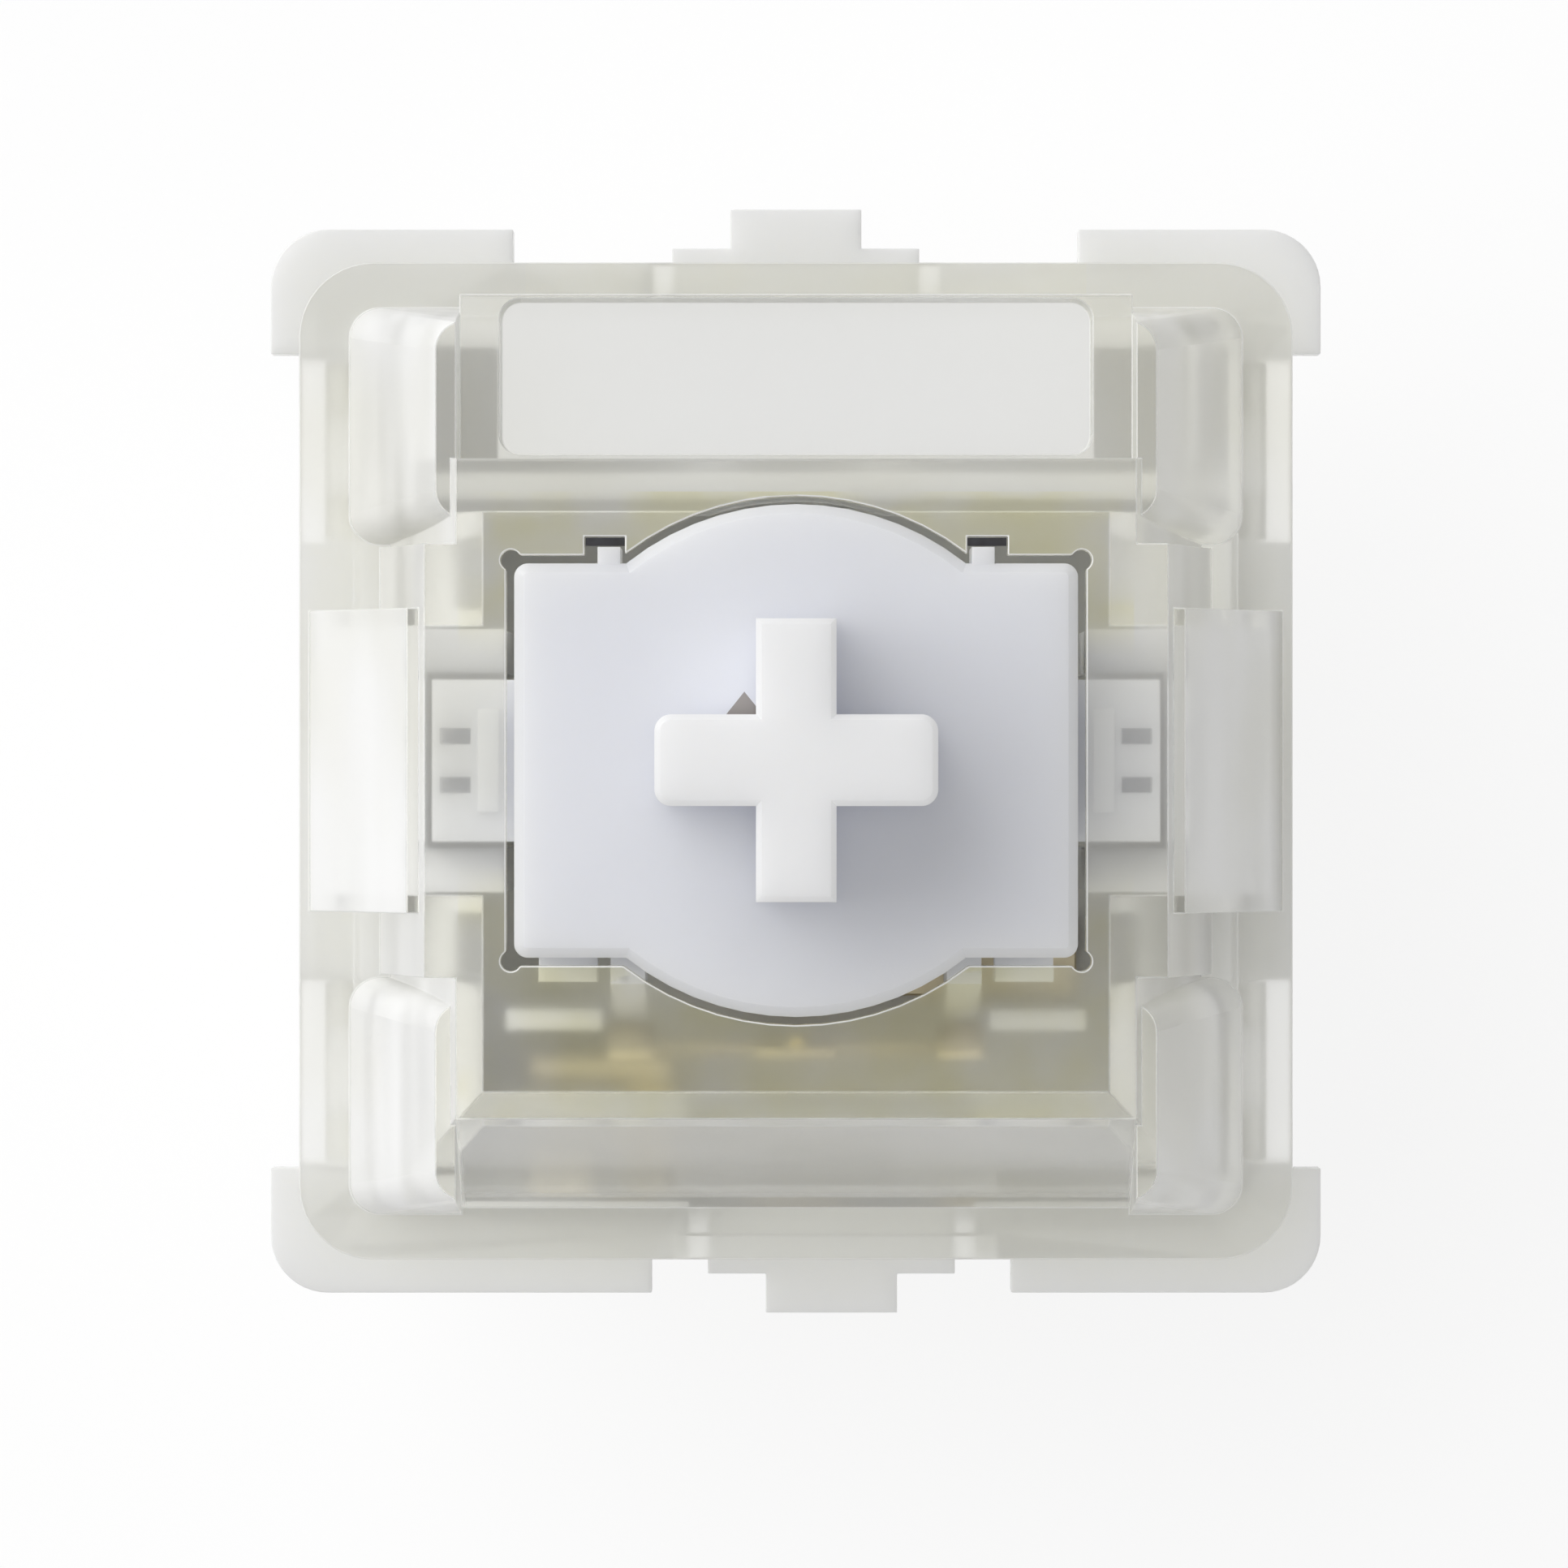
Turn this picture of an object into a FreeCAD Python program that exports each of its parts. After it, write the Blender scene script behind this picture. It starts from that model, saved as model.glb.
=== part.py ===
# Plunger switch for a keyboard: a clear upper housing snapped over a milky lower housing,
# a sliding stem with a cross for the keycap, a return spring and a pair of sheet contacts.
# Frame: +Z up, origin on the circuit board's face at the centre of the locating post,
# +X to the right and +Y towards the lamp window, as seen from above. Millimetres.

import FreeCAD, Part
import Sketcher
import os
import re

# Driving sizes. Each is written once, here, and every piece is worked out from them.
SIZES = {
    # Flange that rests on the plate
    "seat_height": 5.0,
    "flange_thick": 1.0,
    "flange_wide": 15.6,
    "flange_deep": 15.8,
    "flange_round": 0.85,
    "waist_wide": 14.7,
    "waist_deep": 14.75,
    "corner_ear": 1.85,
    "north_gap": 8.4,
    "south_gap": 5.34,
    # Lower housing
    "lower_wide": 13.94,
    "lower_taper": 0.2,
    "lower_round": 0.7,
    "floor_thick": 1.0,
    "side_wall": 1.2,
    "end_wall": 0.87,
    "nest_high": 0.75,
    "nest_gap": 0.1,
    "post_diameter": 3.9,
    "post_length": 3.3,
    "post_chamfer": 0.4,
    "column_diameter": 3.3,
    "column_high": 4.0,
    "pole_diameter": 2.0,
    "pole_clearance": 0.08,
    # Plate clips
    "clip_wide": 3.67,
    "clip_thick": 0.6,
    "clip_slot": 0.28,
    "clip_root": 1.6,
    "clip_foot_reach": 0.65,
    "clip_tip_reach": 0.58,
    "clip_tip_wide": 1.95,
    "clip_foot_thick": 0.85,
    "clip_head_gap": 0.1,
    "clip_notch": 0.2,
    "south_shift": 0.53,
    "plate_thick": 1.5,
    "barb_wide": 2.2,
    "barb_proud": 0.34,
    "barb_high": 1.5,
    # Guide towers
    "tower_inner": 4.25,
    "tower_half": 1.92,
    "tower_foot": 6.25,
    "tower_top": 9.9,
    "tower_lead": 0.75,
    "tower_lead_flare": 0.45,
    "tower_gap": 0.05,
    "guide_clearance": 0.1,
    # Upper housing
    "roof_height": 11.6,
    "roof_thick": 1.1,
    "rim_high": 1.0,
    "rim_wall": 0.8,
    "rim_round": 1.1,
    "core_foot": 6.0,
    "core_head": 4.94,
    "core_wall": 0.75,
    "south_foot": 6.6,
    "south_head": 5.2,
    "north_face": 4.38,
    "ridge_inner": 4.94,
    "ridge_crest": 0.3,
    "ridge_outer": 6.6,
    "ridge_start": 3.2,
    "ridge_end": 6.7,
    "ridge_drop": 0.3,
    "ridge_lean": 0.3,
    "ridge_round": 0.45,
    "pilaster_half": 3.15,
    "pilaster_foot": 6.15,
    "pilaster_head": 5.4,
    "bulge_foot": 7.2,
    "bulge_head": 5.66,
    "bulge_drop": 0.45,
    "bulge_side_wall": 0.25,
    "hood_wall": 0.45,
    "lamp_south": 4.5,
    "lamp_north": 6.78,
    "lamp_half": 4.35,
    "lamp_corner": 0.3,
    "lamp_deck_height": 2.9,
    "lamp_deck_reach": 6.85,
    "lamp_deck_half": 4.94,
    "lamp_pane": 0.6,
    "lamp_pane_height": 1.4,
    "rim_notch_west": 1.8,
    "rim_notch_east": 3.0,
    "rim_notch_deep": 0.35,
    "rim_notch_high": 0.6,
    "latch_near": 3.3,
    "latch_far": 5.9,
    "latch_thick": 0.6,
    "latch_low": 2.4,
    "latch_bar": 0.6,
    "latch_window_high": 1.4,
    "latch_window_margin": 0.65,
    "latch_gap": 0.05,
    # Stem
    "travel": 4.0,
    "stem_half_x": 4.09,
    "stem_half_y": 2.86,
    "stem_bulge": 3.72,
    "stem_bulge_radius": 3.96,
    "stem_corner": 0.2,
    "stem_clearance": 0.12,
    "corner_relief": 0.15,
    "corner_relief_proud": 0.08,
    "stem_below_roof": 0.05,
    "platform_thick": 1.05,
    "skirt_high": 2.5,
    "platform_chamfer": 0.14,
    "cross_rise": 3.6,
    "cross_long": 4.05,
    "cross_arm_x": 1.31,
    "cross_arm_y": 1.15,
    "cross_round": 0.24,
    "cross_chamfer": 0.08,
    "rail_half": 1.18,
    "rail_reach": 5.3,
    "rail_drop": 0.2,
    "rail_high": 5.0,
    "rail_pad_high": 0.14,
    "rail_pad_half": 0.75,
    "rail_pad_start": 4.33,
    "rail_pad_end": 4.63,
    "rail_pit_start": 4.74,
    "rail_pit_end": 5.18,
    "rail_pit_near": 0.24,
    "rail_pit_far": 0.47,
    "rail_pit_deep": 0.7,
    "key_near": 2.55,
    "key_far": 2.88,
    "key_reach": 0.24,
    "key_high": 3.0,
    "key_drop": 0.12,
    "key_near_gap": 0.07,
    "key_far_gap": 0.19,
    "key_end_gap": 0.15,
    "shoulder_near": 2.9,
    "shoulder_far": 3.75,
    "shoulder_reach": 0.36,
    "shoulder_high": 1.4,
    "cup_diameter": 4.9,
    "cup_ceiling": 10.15,
    "pole_low": 1.95,
    "pole_tip": 0.3,
    "bore_spare": 0.2,
    # Legs that hold the moving contact off
    "leg_near": 2.2,
    "leg_far": 2.7,
    "leg_reach": 3.85,
    "leg_relief": 0.6,
    "leg_toe": 0.45,
    "leg_heel": 0.35,
    # Spring
    "spring_diameter": 4.0,
    "spring_wire": 0.26,
    "spring_turns": 9.0,
    # Contacts
    "pin_wide": 0.9,
    "pin_tip": 0.4,
    "pin_taper": 0.7,
    "sheet_thick": 0.3,
    "fixed_pin_x": 3.81,
    "fixed_pin_y": 2.54,
    "moving_pin_x": 2.54,
    "moving_pin_y": 5.08,
    "fixed_plate_half": 0.8,
    "fixed_face": 3.55,
    "fixed_top": 5.9,
    "leaf_face": 4.25,
    "leaf_thick": 0.15,
    "leaf_low": 1.35,
    "leaf_bar_high": 1.4,
    "leaf_finger_half": 0.33,
    "leaf_top": 6.4,
    "leaf_tongue_half": 0.6,
    "leaf_tongue_top": 5.75,
    "bump_height": 5.9,
    "bump_gap": 0.02,
    "point_height": 5.2,
    "point_long": 0.9,
    "point_wide": 0.3,
    "point_proud": 0.15,
    "weld_gap": 0.05,
    "weld_plate_east": 1.9,
    "weld_plate_top": 2.6,
    "tab_west": 4.0,
    "tab_east": 3.05,
    "tab_flap": 0.7,
    "tab_high": 4.2,
    "slot_gap": 0.03,
    # Walls round the contacts and the lamp
    "screen_near": 2.85,
    "screen_far": 4.25,
    "screen_front": 3.65,
    "screen_thick": 0.3,
    "screen_top": 8.6,
    "tab_frame": 0.5,
    "tab_frame_top": 3.6,
    "lamp_wall_face": 3.85,
    "lamp_wall_thick": 0.4,
    "lamp_wall_top": 0.4,
    "lamp_leg_diameter": 1.0,
    "lamp_leg_x": 1.27,
    "lamp_leg_y": 5.08,
}

doc = FreeCAD.newDocument("switch")
sheet = doc.addObject("Spreadsheet::Sheet", "Sizes")
for row, (alias, value) in enumerate(SIZES.items(), 1):
    sheet.set(f"A{row}", alias)
    sheet.set(f"B{row}", str(value))
    sheet.setAlias(f"B{row}", alias)
doc.recompute()

# Heights and distances that several pieces share, worked out from the sizes.
RIM_LOW = "(seat_height + flange_thick)"
RIM_TOP = f"({RIM_LOW} + rim_high)"
ROOF_UNDER = "(roof_height - roof_thick)"
PANE_TOP = f"({RIM_LOW} + lamp_pane_height)"
PANE_UNDER = f"({PANE_TOP} - lamp_pane)"
DECK_TOP = f"({RIM_LOW} + lamp_deck_height)"
BULGE_TOP = "(roof_height - bulge_drop)"
BULGE_SLOPE = f"((bulge_foot - bulge_head) / ({BULGE_TOP} - {RIM_TOP}))"
BULGE_HALF = "(tower_half + tower_gap + bulge_side_wall)"
PLATFORM_TOP = "(roof_height - stem_below_roof)"
PLATFORM_LOW = f"({PLATFORM_TOP} - platform_thick)"
SKIRT_LOW = f"({PLATFORM_LOW} - skirt_high)"
RAIL_TOP = f"({ROOF_UNDER} - rail_drop)"
INNER_X = "(lower_wide / 2 - side_wall)"
INNER_Y = "(lower_wide / 2 - end_wall)"
CAVITY_X = "(waist_wide / 2 - rim_wall)"
CAVITY_Y = "(waist_deep / 2 - rim_wall)"
LATCH_INNER = "(lower_wide / 2 - latch_thick)"
POCKET_FACE = f"({LATCH_INNER} - latch_gap)"
FLOOR_SHEET = "(floor_thick + sheet_thick)"
WELD_FACE = "(leaf_face + leaf_thick + weld_gap)"
PIN_LOW = "(0 - post_length)"
BEYOND = "flange_wide"  # further out than any piece reaches
ABOVE = "(roof_height + cross_rise)"  # as high as any cut needs to go

PLANES = {"XY": "XY_Plane", "XZ": "XZ_Plane", "YZ": "YZ_Plane"}
WEST_EAST = (("west", -1), ("east", 1))
SOUTH_NORTH = (("south", -1), ("north", 1))
CORNERS = [(f"{a}_{b}", x, y) for a, y in SOUTH_NORTH for b, x in WEST_EAST]


def sized(text):
    """An expression with each size's name pointed at its cell."""
    return re.sub(r"[a-z][a-z_]*", lambda m: "Sizes." + m[0] if m[0] in SIZES else m[0], str(text))


def number(text):
    """The value that an expression has now."""
    return float(sheet.evalExpression(sized(text)))


def bind(item, **expressions):
    """Tie properties to expressions; a double underscore in a name stands for a dot."""
    for name, text in expressions.items():
        item.setExpression(name.replace("__", "."), sized(text))
    return item


def span(side, near, far):
    """The low and high end of a stretch given by its distances from the centre on one side."""
    return (f"({near})", f"({far})") if side > 0 else (f"(0 - ({far}))", f"(0 - ({near}))")


def both(half):
    return (f"(0 - ({half}))", f"({half})")


def block(name, x, y, z):
    """A box between pairs of expressions."""
    item = doc.addObject("Part::Box", name)
    return bind(
        item,
        Length=f"({x[1]}) - ({x[0]})",
        Width=f"({y[1]}) - ({y[0]})",
        Height=f"({z[1]}) - ({z[0]})",
        Placement__Base__x=x[0],
        Placement__Base__y=y[0],
        Placement__Base__z=z[0],
    )


def frustum(name, z, low_x, low_y, high_x, high_y):
    """A block whose top rectangle differs from its bottom one."""
    item = doc.addObject("Part::Wedge", name)
    item.Placement.Rotation = FreeCAD.Rotation(FreeCAD.Vector(1, 0, 0), 90)
    return bind(
        item,
        Ymin="0",
        Ymax=f"({z[1]}) - ({z[0]})",
        Xmin=low_x[0],
        Xmax=low_x[1],
        Zmin=f"0 - ({low_y[1]})",
        Zmax=f"0 - ({low_y[0]})",
        X2min=high_x[0],
        X2max=high_x[1],
        Z2min=f"0 - ({high_y[1]})",
        Z2max=f"0 - ({high_y[0]})",
        Placement__Base__z=z[0],
    )


def round_hole(name, radius, x, y, z):
    """An upright cylinder to cut with."""
    item = doc.addObject("Part::Cylinder", name)
    return bind(
        item,
        Radius=radius,
        Height=f"({z[1]}) - ({z[0]})",
        Placement__Base__x=x,
        Placement__Base__y=y,
        Placement__Base__z=z[0],
    )


def fuse(name, pieces):
    item = doc.addObject("Part::MultiFuse", name)
    item.Shapes = pieces
    item.Refine = True
    return item


def cut(name, base, tools):
    item = doc.addObject("Part::Cut", name)
    item.Base = base
    item.Tool = tools[0] if len(tools) == 1 else fuse(name + "_tools", tools)
    item.Refine = True
    return item


def upright(edge):
    """Whether a straight edge runs more up than sideways."""
    straight = isinstance(edge.Curve, Part.Line)
    return straight and abs(edge.tangentAt(edge.FirstParameter).z) > 0.8


def level_at(edge, height):
    """Whether an edge lies flat at a height."""
    box = edge.BoundBox
    return max(abs(box.ZMin - number(height)), abs(box.ZMax - number(height))) < 1e-4


def rounded(name, base, radius, wanted=upright):
    """The base with the edges that the rule picks rounded."""
    doc.recompute()
    size = number(radius)
    item = doc.addObject("Part::Fillet", name)
    item.Base = base
    item.Edges = [(i, size, size) for i, edge in enumerate(base.Shape.Edges, 1) if wanted(edge)]
    return item


def new_sketch(body, name, plane, height="0"):
    """A sketch on one of the body's own planes, moved along its normal."""
    sketch = body.newObject("Sketcher::SketchObject", name)
    origin = [f for f in body.Origin.OriginFeatures if f.Role == PLANES[plane]][0]
    sketch.AttachmentSupport = [(origin, "")]
    sketch.MapMode = "FlatFace"
    return bind(sketch, AttachmentOffset__Base__z=height)


def tie(sketch, text, *parts):
    """A measured constraint whose value is an expression."""
    made = sketch.addConstraint(Sketcher.Constraint(*parts, number(text)))
    sketch.setExpression(f"Constraints[{made}]", sized(text))


def outline(sketch, corners):
    """A closed outline of straight lines through corners given by pairs of expressions."""
    places = [FreeCAD.Vector(number(a), number(b), 0) for a, b in corners]
    first = sketch.GeometryCount
    for here, there in zip(places, places[1:] + places[:1]):
        sketch.addGeometry(Part.LineSegment(here, there), False)
    for k, (across, along) in enumerate(corners):
        follower = first + (k + 1) % len(corners)
        sketch.addConstraint(Sketcher.Constraint("Coincident", first + k, 2, follower, 1))
        tie(sketch, across, "DistanceX", -1, 1, first + k, 1)
        tie(sketch, along, "DistanceY", -1, 1, first + k, 1)


def oblong(sketch, x, y):
    outline(sketch, [(x[0], y[0]), (x[1], y[0]), (x[1], y[1]), (x[0], y[1])])


def circle(sketch, radius):
    ring = Part.Circle(FreeCAD.Vector(0, 0, 0), FreeCAD.Vector(0, 0, 1), number(radius))
    made = sketch.addGeometry(ring, False)
    sketch.addConstraint(Sketcher.Constraint("Coincident", made, 3, -1, 1))
    tie(sketch, radius, "Radius", made)


def stem_outline(sketch, gap):
    """The platform's outline: an oblong with an arc swelling out of its north and south sides."""
    half_x = number(f"stem_half_x + {gap}")
    half_y = number(f"stem_half_y + {gap}")
    radius = number(f"stem_bulge_radius + {gap}")
    centre = number("stem_bulge - stem_bulge_radius")
    shoulder = (radius**2 - (half_y - centre) ** 2) ** 0.5
    for side in (-1, 1):
        start = FreeCAD.Vector(-side * half_x, side * half_y, 0)
        near = FreeCAD.Vector(-side * shoulder, side * half_y, 0)
        far = FreeCAD.Vector(side * shoulder, side * half_y, 0)
        end = FreeCAD.Vector(side * half_x, side * half_y, 0)
        swell = Part.Circle(FreeCAD.Vector(0, side * centre, 0), FreeCAD.Vector(0, 0, 1), radius)
        arc = Part.ArcOfCircle(swell, swell.parameter(far), swell.parameter(near))
        corner = FreeCAD.Vector(side * half_x, -side * half_y, 0)
        straight = [Part.LineSegment(a, b) for a, b in ((start, near), (far, end), (end, corner))]
        for shape in (straight[0], arc, *straight[1:]):
            sketch.addGeometry(shape, False)
    for k, side in ((0, -1), (4, 1)):
        arc = k + 1
        sketch.addConstraint(Sketcher.Constraint("Coincident", k, 2, arc, 2))
        sketch.addConstraint(Sketcher.Constraint("Coincident", arc, 1, k + 2, 1))
        sketch.addConstraint(Sketcher.Constraint("Coincident", k + 2, 2, k + 3, 1))
        sketch.addConstraint(Sketcher.Constraint("Coincident", k + 3, 2, (k + 4) % 8, 1))
        sketch.addConstraint(Sketcher.Constraint("Horizontal", k))
        sketch.addConstraint(Sketcher.Constraint("Horizontal", k + 2))
        sketch.addConstraint(Sketcher.Constraint("PointOnObject", arc, 3, -2))
        tie(sketch, f"{side} * (stem_bulge - stem_bulge_radius)", "DistanceY", -1, 1, arc, 3)
        tie(sketch, f"stem_bulge_radius + {gap}", "Radius", arc)
        tie(sketch, f"{-side} * (stem_half_x + {gap})", "DistanceX", -1, 1, k, 1)
        tie(sketch, f"{side} * (stem_half_y + {gap})", "DistanceY", -1, 1, k, 1)


def pad(body, name, sketch, length, back=False):
    """The sketch raised along its normal, or against it."""
    feature = body.newObject("PartDesign::Pad", name)
    feature.Profile = sketch
    feature.Reversed = back
    return bind(feature, Length=length)


def pocket(body, name, sketch, length, back=False):
    """The sketch cut out of the body; the volume has to shrink."""
    doc.recompute()
    before = body.Shape.Volume
    feature = body.newObject("PartDesign::Pocket", name)
    feature.Profile = sketch
    feature.Reversed = back
    bind(feature, Length=length)
    doc.recompute()
    if not body.Shape.Volume < before:
        raise RuntimeError(f"{name} removes nothing")


def dressed(body, kind, name, size, wanted):
    """A fillet or chamfer on the edges of the body's last feature that the rule picks."""
    doc.recompute()
    base = body.Tip
    chosen = [f"Edge{i}" for i, edge in enumerate(base.Shape.Edges, 1) if wanted(edge)]
    feature = body.newObject(f"PartDesign::{kind}", name)
    feature.Base = (base, chosen)
    bind(feature, **{"Radius" if kind == "Fillet" else "Size": size})


def plate_clip(label, side, shift):
    """Flexible tongue with a barb under the plate and a release tip above it."""
    back = "lower_wide / 2 - clip_thick"
    foot = "lower_wide / 2 + clip_foot_reach"
    top = f"({RIM_LOW} - clip_head_gap)"
    foot_z = (f"{top} - clip_foot_thick", top)
    barb_top = "(seat_height - plate_thick)"

    def across(wide):
        return (f"({shift}) - {wide} / 2", f"({shift}) + {wide} / 2")

    tongue_z = ("clip_root - clip_slot", top)
    tip_y = span(side, back, f"{foot} + clip_tip_reach")
    return [
        block(f"{label}_tongue", across("clip_wide"), span(side, back, "lower_wide / 2"), tongue_z),
        block(f"{label}_foot", across("clip_wide"), span(side, back, foot), foot_z),
        block(f"{label}_tip", across("clip_tip_wide"), tip_y, foot_z),
        frustum(
            f"{label}_barb",
            (f"{barb_top} - barb_high", barb_top),
            across("barb_wide"),
            span(side, back, "lower_wide / 2 - clip_notch"),
            across("barb_wide"),
            span(side, back, "lower_wide / 2 + barb_proud"),
        ),
    ]


def clip_slot(label, side, shift):
    """The opening in the end wall round a plate clip."""
    half = "(clip_wide / 2 + clip_slot)"
    x = (f"({shift}) - {half}", f"({shift}) + {half}")
    y = span(side, f"{INNER_Y} - end_wall", BEYOND)
    return block(f"{label}_clip_slot", x, y, ("clip_root", ABOVE))


def guide_tower(label, side):
    """Tower whose slot guides a rail of the stem, with a V that leads the rail in."""
    head = f"{hood_reach('tower_top')} - tower_gap"
    slot_half = "rail_half + guide_clearance"
    foot_x = span(side, "tower_inner", f"{INNER_X} + side_wall / 2")
    lower = block(f"{label}_tower_foot", foot_x, both("tower_half"), ("floor_thick / 2", RIM_LOW))
    upper = frustum(
        f"{label}_tower",
        (RIM_LOW, "tower_top"),
        span(side, "tower_inner", "tower_foot"),
        both("tower_half"),
        span(side, "tower_inner", head),
        both("tower_half"),
    )
    slot_x = span(side, "0", "rail_reach + guide_clearance")
    slot = block(f"{label}_rail_slot", slot_x, both(slot_half), ("floor_thick", ABOVE))
    lead_z = ("tower_top - tower_lead", "tower_top")
    lead_x = span(side, "0", "rail_reach + guide_clearance + tower_lead_flare")
    mouth = frustum(f"{label}_lead_in", lead_z, slot_x, both(slot_half), lead_x, both("tower_half"))
    return cut(f"{label}_guide", fuse(f"{label}_tower_whole", [lower, upper]), [slot, mouth])


def latch_pocket(label, side_x, side_y):
    """Opening in the lower housing's side for a latch leg of the cover."""
    y = span(side_y, "latch_near - latch_gap", "latch_far + latch_gap")
    z = ("latch_low - latch_gap", ABOVE)
    return block(f"{label}_latch_pocket", span(side_x, POCKET_FACE, BEYOND), y, z)


def latch_nub(label, side_x, side_y):
    """Wedge that the latch leg's window snaps over."""
    margin = "(latch_window_margin + latch_gap)"
    y = span(side_y, f"latch_near + {margin}", f"latch_far - {margin}")
    low = "(latch_low + latch_bar + latch_gap)"
    z = (low, f"{low} + latch_window_high - 2 * latch_gap")
    root = f"{POCKET_FACE} - latch_gap"
    low_x = span(side_x, root, "lower_wide / 2 - latch_gap")
    high_x = span(side_x, root, f"{POCKET_FACE} + latch_gap")
    return frustum(f"{label}_latch_nub", z, low_x, y, high_x, y)


def make_flange():
    """Flange with four corner ears, narrowed between them and opened round the clips."""
    z = ("seat_height", RIM_LOW)
    blank = block("flange_blank", both("flange_wide / 2"), both("flange_deep / 2"), z)
    gap_x = {
        "north": both("north_gap / 2"),
        "south": ("south_shift - south_gap / 2", "south_shift + south_gap / 2"),
    }
    gaps = []
    for label, side in WEST_EAST:
        x = span(side, "waist_wide / 2", BEYOND)
        gaps.append(block(f"{label}_waist", x, both("flange_deep / 2 - corner_ear"), z))
    for label, side in SOUTH_NORTH:
        y = span(side, "waist_deep / 2", BEYOND)
        gaps.append(block(f"{label}_gap", gap_x[label], y, z))
    return cut("flange", rounded("flange_round_corners", blank, "flange_round"), gaps)


def make_case():
    """The lower housing's outer walls with their flange, clip slots and latch pockets."""
    low_half = both("lower_wide / 2 - lower_taper")
    high_half = both("lower_wide / 2")
    tapered = frustum("lower_shell", ("0", "seat_height"), low_half, low_half, high_half, high_half)
    nest_x = both(f"{CAVITY_X} - nest_gap")
    nest_y = both(f"{CAVITY_Y} - nest_gap")
    nest = block("nest", nest_x, nest_y, ("seat_height", f"{RIM_LOW} + nest_high"))
    shell = rounded("lower_round_shell", tapered, "lower_round")
    seat = rounded("nest_round", nest, "lower_round")
    outside = fuse("lower_outside", [shell, seat, make_flange()])
    openings = [block("lower_hollow", both(INNER_X), both(INNER_Y), ("floor_thick", ABOVE))]
    openings += [clip_slot("north", 1, "0"), clip_slot("south", -1, "south_shift")]
    openings += [latch_pocket(*corner) for corner in CORNERS]
    return cut("lower_case", outside, openings)


def make_post():
    """Locating post under the floor and the spring's column above it, turned in one."""
    body = doc.addObject("PartDesign::Body", "post")
    section = new_sketch(body, "post_section", "XZ")
    column = "column_diameter / 2"
    outline(
        section,
        [
            ("0", PIN_LOW),
            ("post_diameter / 2 - post_chamfer", PIN_LOW),
            ("post_diameter / 2", f"{PIN_LOW} + post_chamfer"),
            ("post_diameter / 2", "floor_thick / 2"),
            (column, "floor_thick / 2"),
            (column, "floor_thick + column_high"),
            ("0", "floor_thick + column_high"),
        ],
    )
    turned = body.newObject("PartDesign::Revolution", "post_turned")
    turned.Profile = section
    turned.ReferenceAxis = (section, ["V_Axis"])
    turned.Angle = 360
    return body


def inner_walls():
    """Walls that screen the contacts, frame the terminal's tab and close off the lamp's room."""
    walls = []
    for label, side in WEST_EAST:
        x = span(side, "screen_near", "screen_far")
        y = span(-1, "screen_front", "screen_front + screen_thick")
        walls.append(block(f"{label}_screen", x, y, ("floor_thick / 2", "screen_top")))
    lamp_y = ("lamp_wall_face", "lamp_wall_face + lamp_wall_thick")
    lamp_x = both(f"{INNER_X} + side_wall / 2")
    walls.append(block("lamp_wall", lamp_x, lamp_y, ("floor_thick / 2", f"{RIM_LOW} + lamp_wall_top")))
    frame_x = ("0 - tab_west - tab_frame", "0 - tab_east + tab_frame")
    frame_y = (f"0 - {INNER_Y} - end_wall / 2", f"0 - {INNER_Y} + tab_flap + tab_frame")
    walls.append(block("tab_frame", frame_x, frame_y, ("floor_thick / 2", "tab_frame_top")))
    return walls


def terminal_slots():
    """Room for the two terminals in the floor and in the frame round the tab."""
    floor = ("0 - floor_thick", "2 * floor_thick")
    half_x = "(pin_wide / 2 + slot_gap)"
    half_y = "(sheet_thick / 2 + slot_gap)"
    fixed_x = (f"fixed_pin_x - {half_x}", f"fixed_pin_x + {half_x}")
    moving_x = (f"0 - moving_pin_x - {half_x}", f"0 - moving_pin_x + {half_x}")
    tab_x = ("0 - tab_west - slot_gap", "0 - tab_east + slot_gap")
    tab_y = (f"0 - {INNER_Y}", f"0 - {INNER_Y} + tab_flap + slot_gap")
    foot_x = ("0 - tab_west - slot_gap", "0 - weld_plate_east + slot_gap")
    foot_y = (f"0 - {INNER_Y}", f"0 - {WELD_FACE}")
    foot_z = ("floor_thick", f"{FLOOR_SHEET} + slot_gap")
    plate_y = (f"0 - {WELD_FACE} - sheet_thick - slot_gap", f"0 - {WELD_FACE}")
    fixed_y = span(-1, f"fixed_pin_y - {half_y}", f"fixed_pin_y + {half_y}")
    moving_y = span(-1, f"moving_pin_y - {half_y}", f"moving_pin_y + {half_y}")
    return [
        block("fixed_pin_slot", fixed_x, fixed_y, floor),
        block("moving_pin_slot", moving_x, moving_y, floor),
        block("tab_slot", tab_x, tab_y, ("floor_thick", ABOVE)),
        block("foot_slot", foot_x, foot_y, foot_z),
        block("weld_plate_slot", foot_x, plate_y, ("floor_thick", "weld_plate_top + slot_gap")),
    ]


def make_bottom_housing():
    pieces = [make_case(), make_post()] + inner_walls()
    pieces += [guide_tower(label, side) for label, side in WEST_EAST]
    pieces += [latch_nub(*corner) for corner in CORNERS]
    pieces += plate_clip("north", 1, "0") + plate_clip("south", -1, "south_shift")
    bore_low = "(pole_low - travel - bore_spare)"
    holes = [round_hole("pole_bore", "pole_diameter / 2 + pole_clearance", "0", "0", (bore_low, ABOVE))]
    floor = ("0 - floor_thick", "2 * floor_thick")
    for label, side in WEST_EAST:
        name = f"{label}_lamp_leg_hole"
        x = f"{side} * lamp_leg_x"
        holes.append(round_hole(name, "lamp_leg_diameter / 2", x, "lamp_leg_y", floor))
    return cut("bottom_housing", fuse("lower_solid", pieces), holes + terminal_slots())


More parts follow.
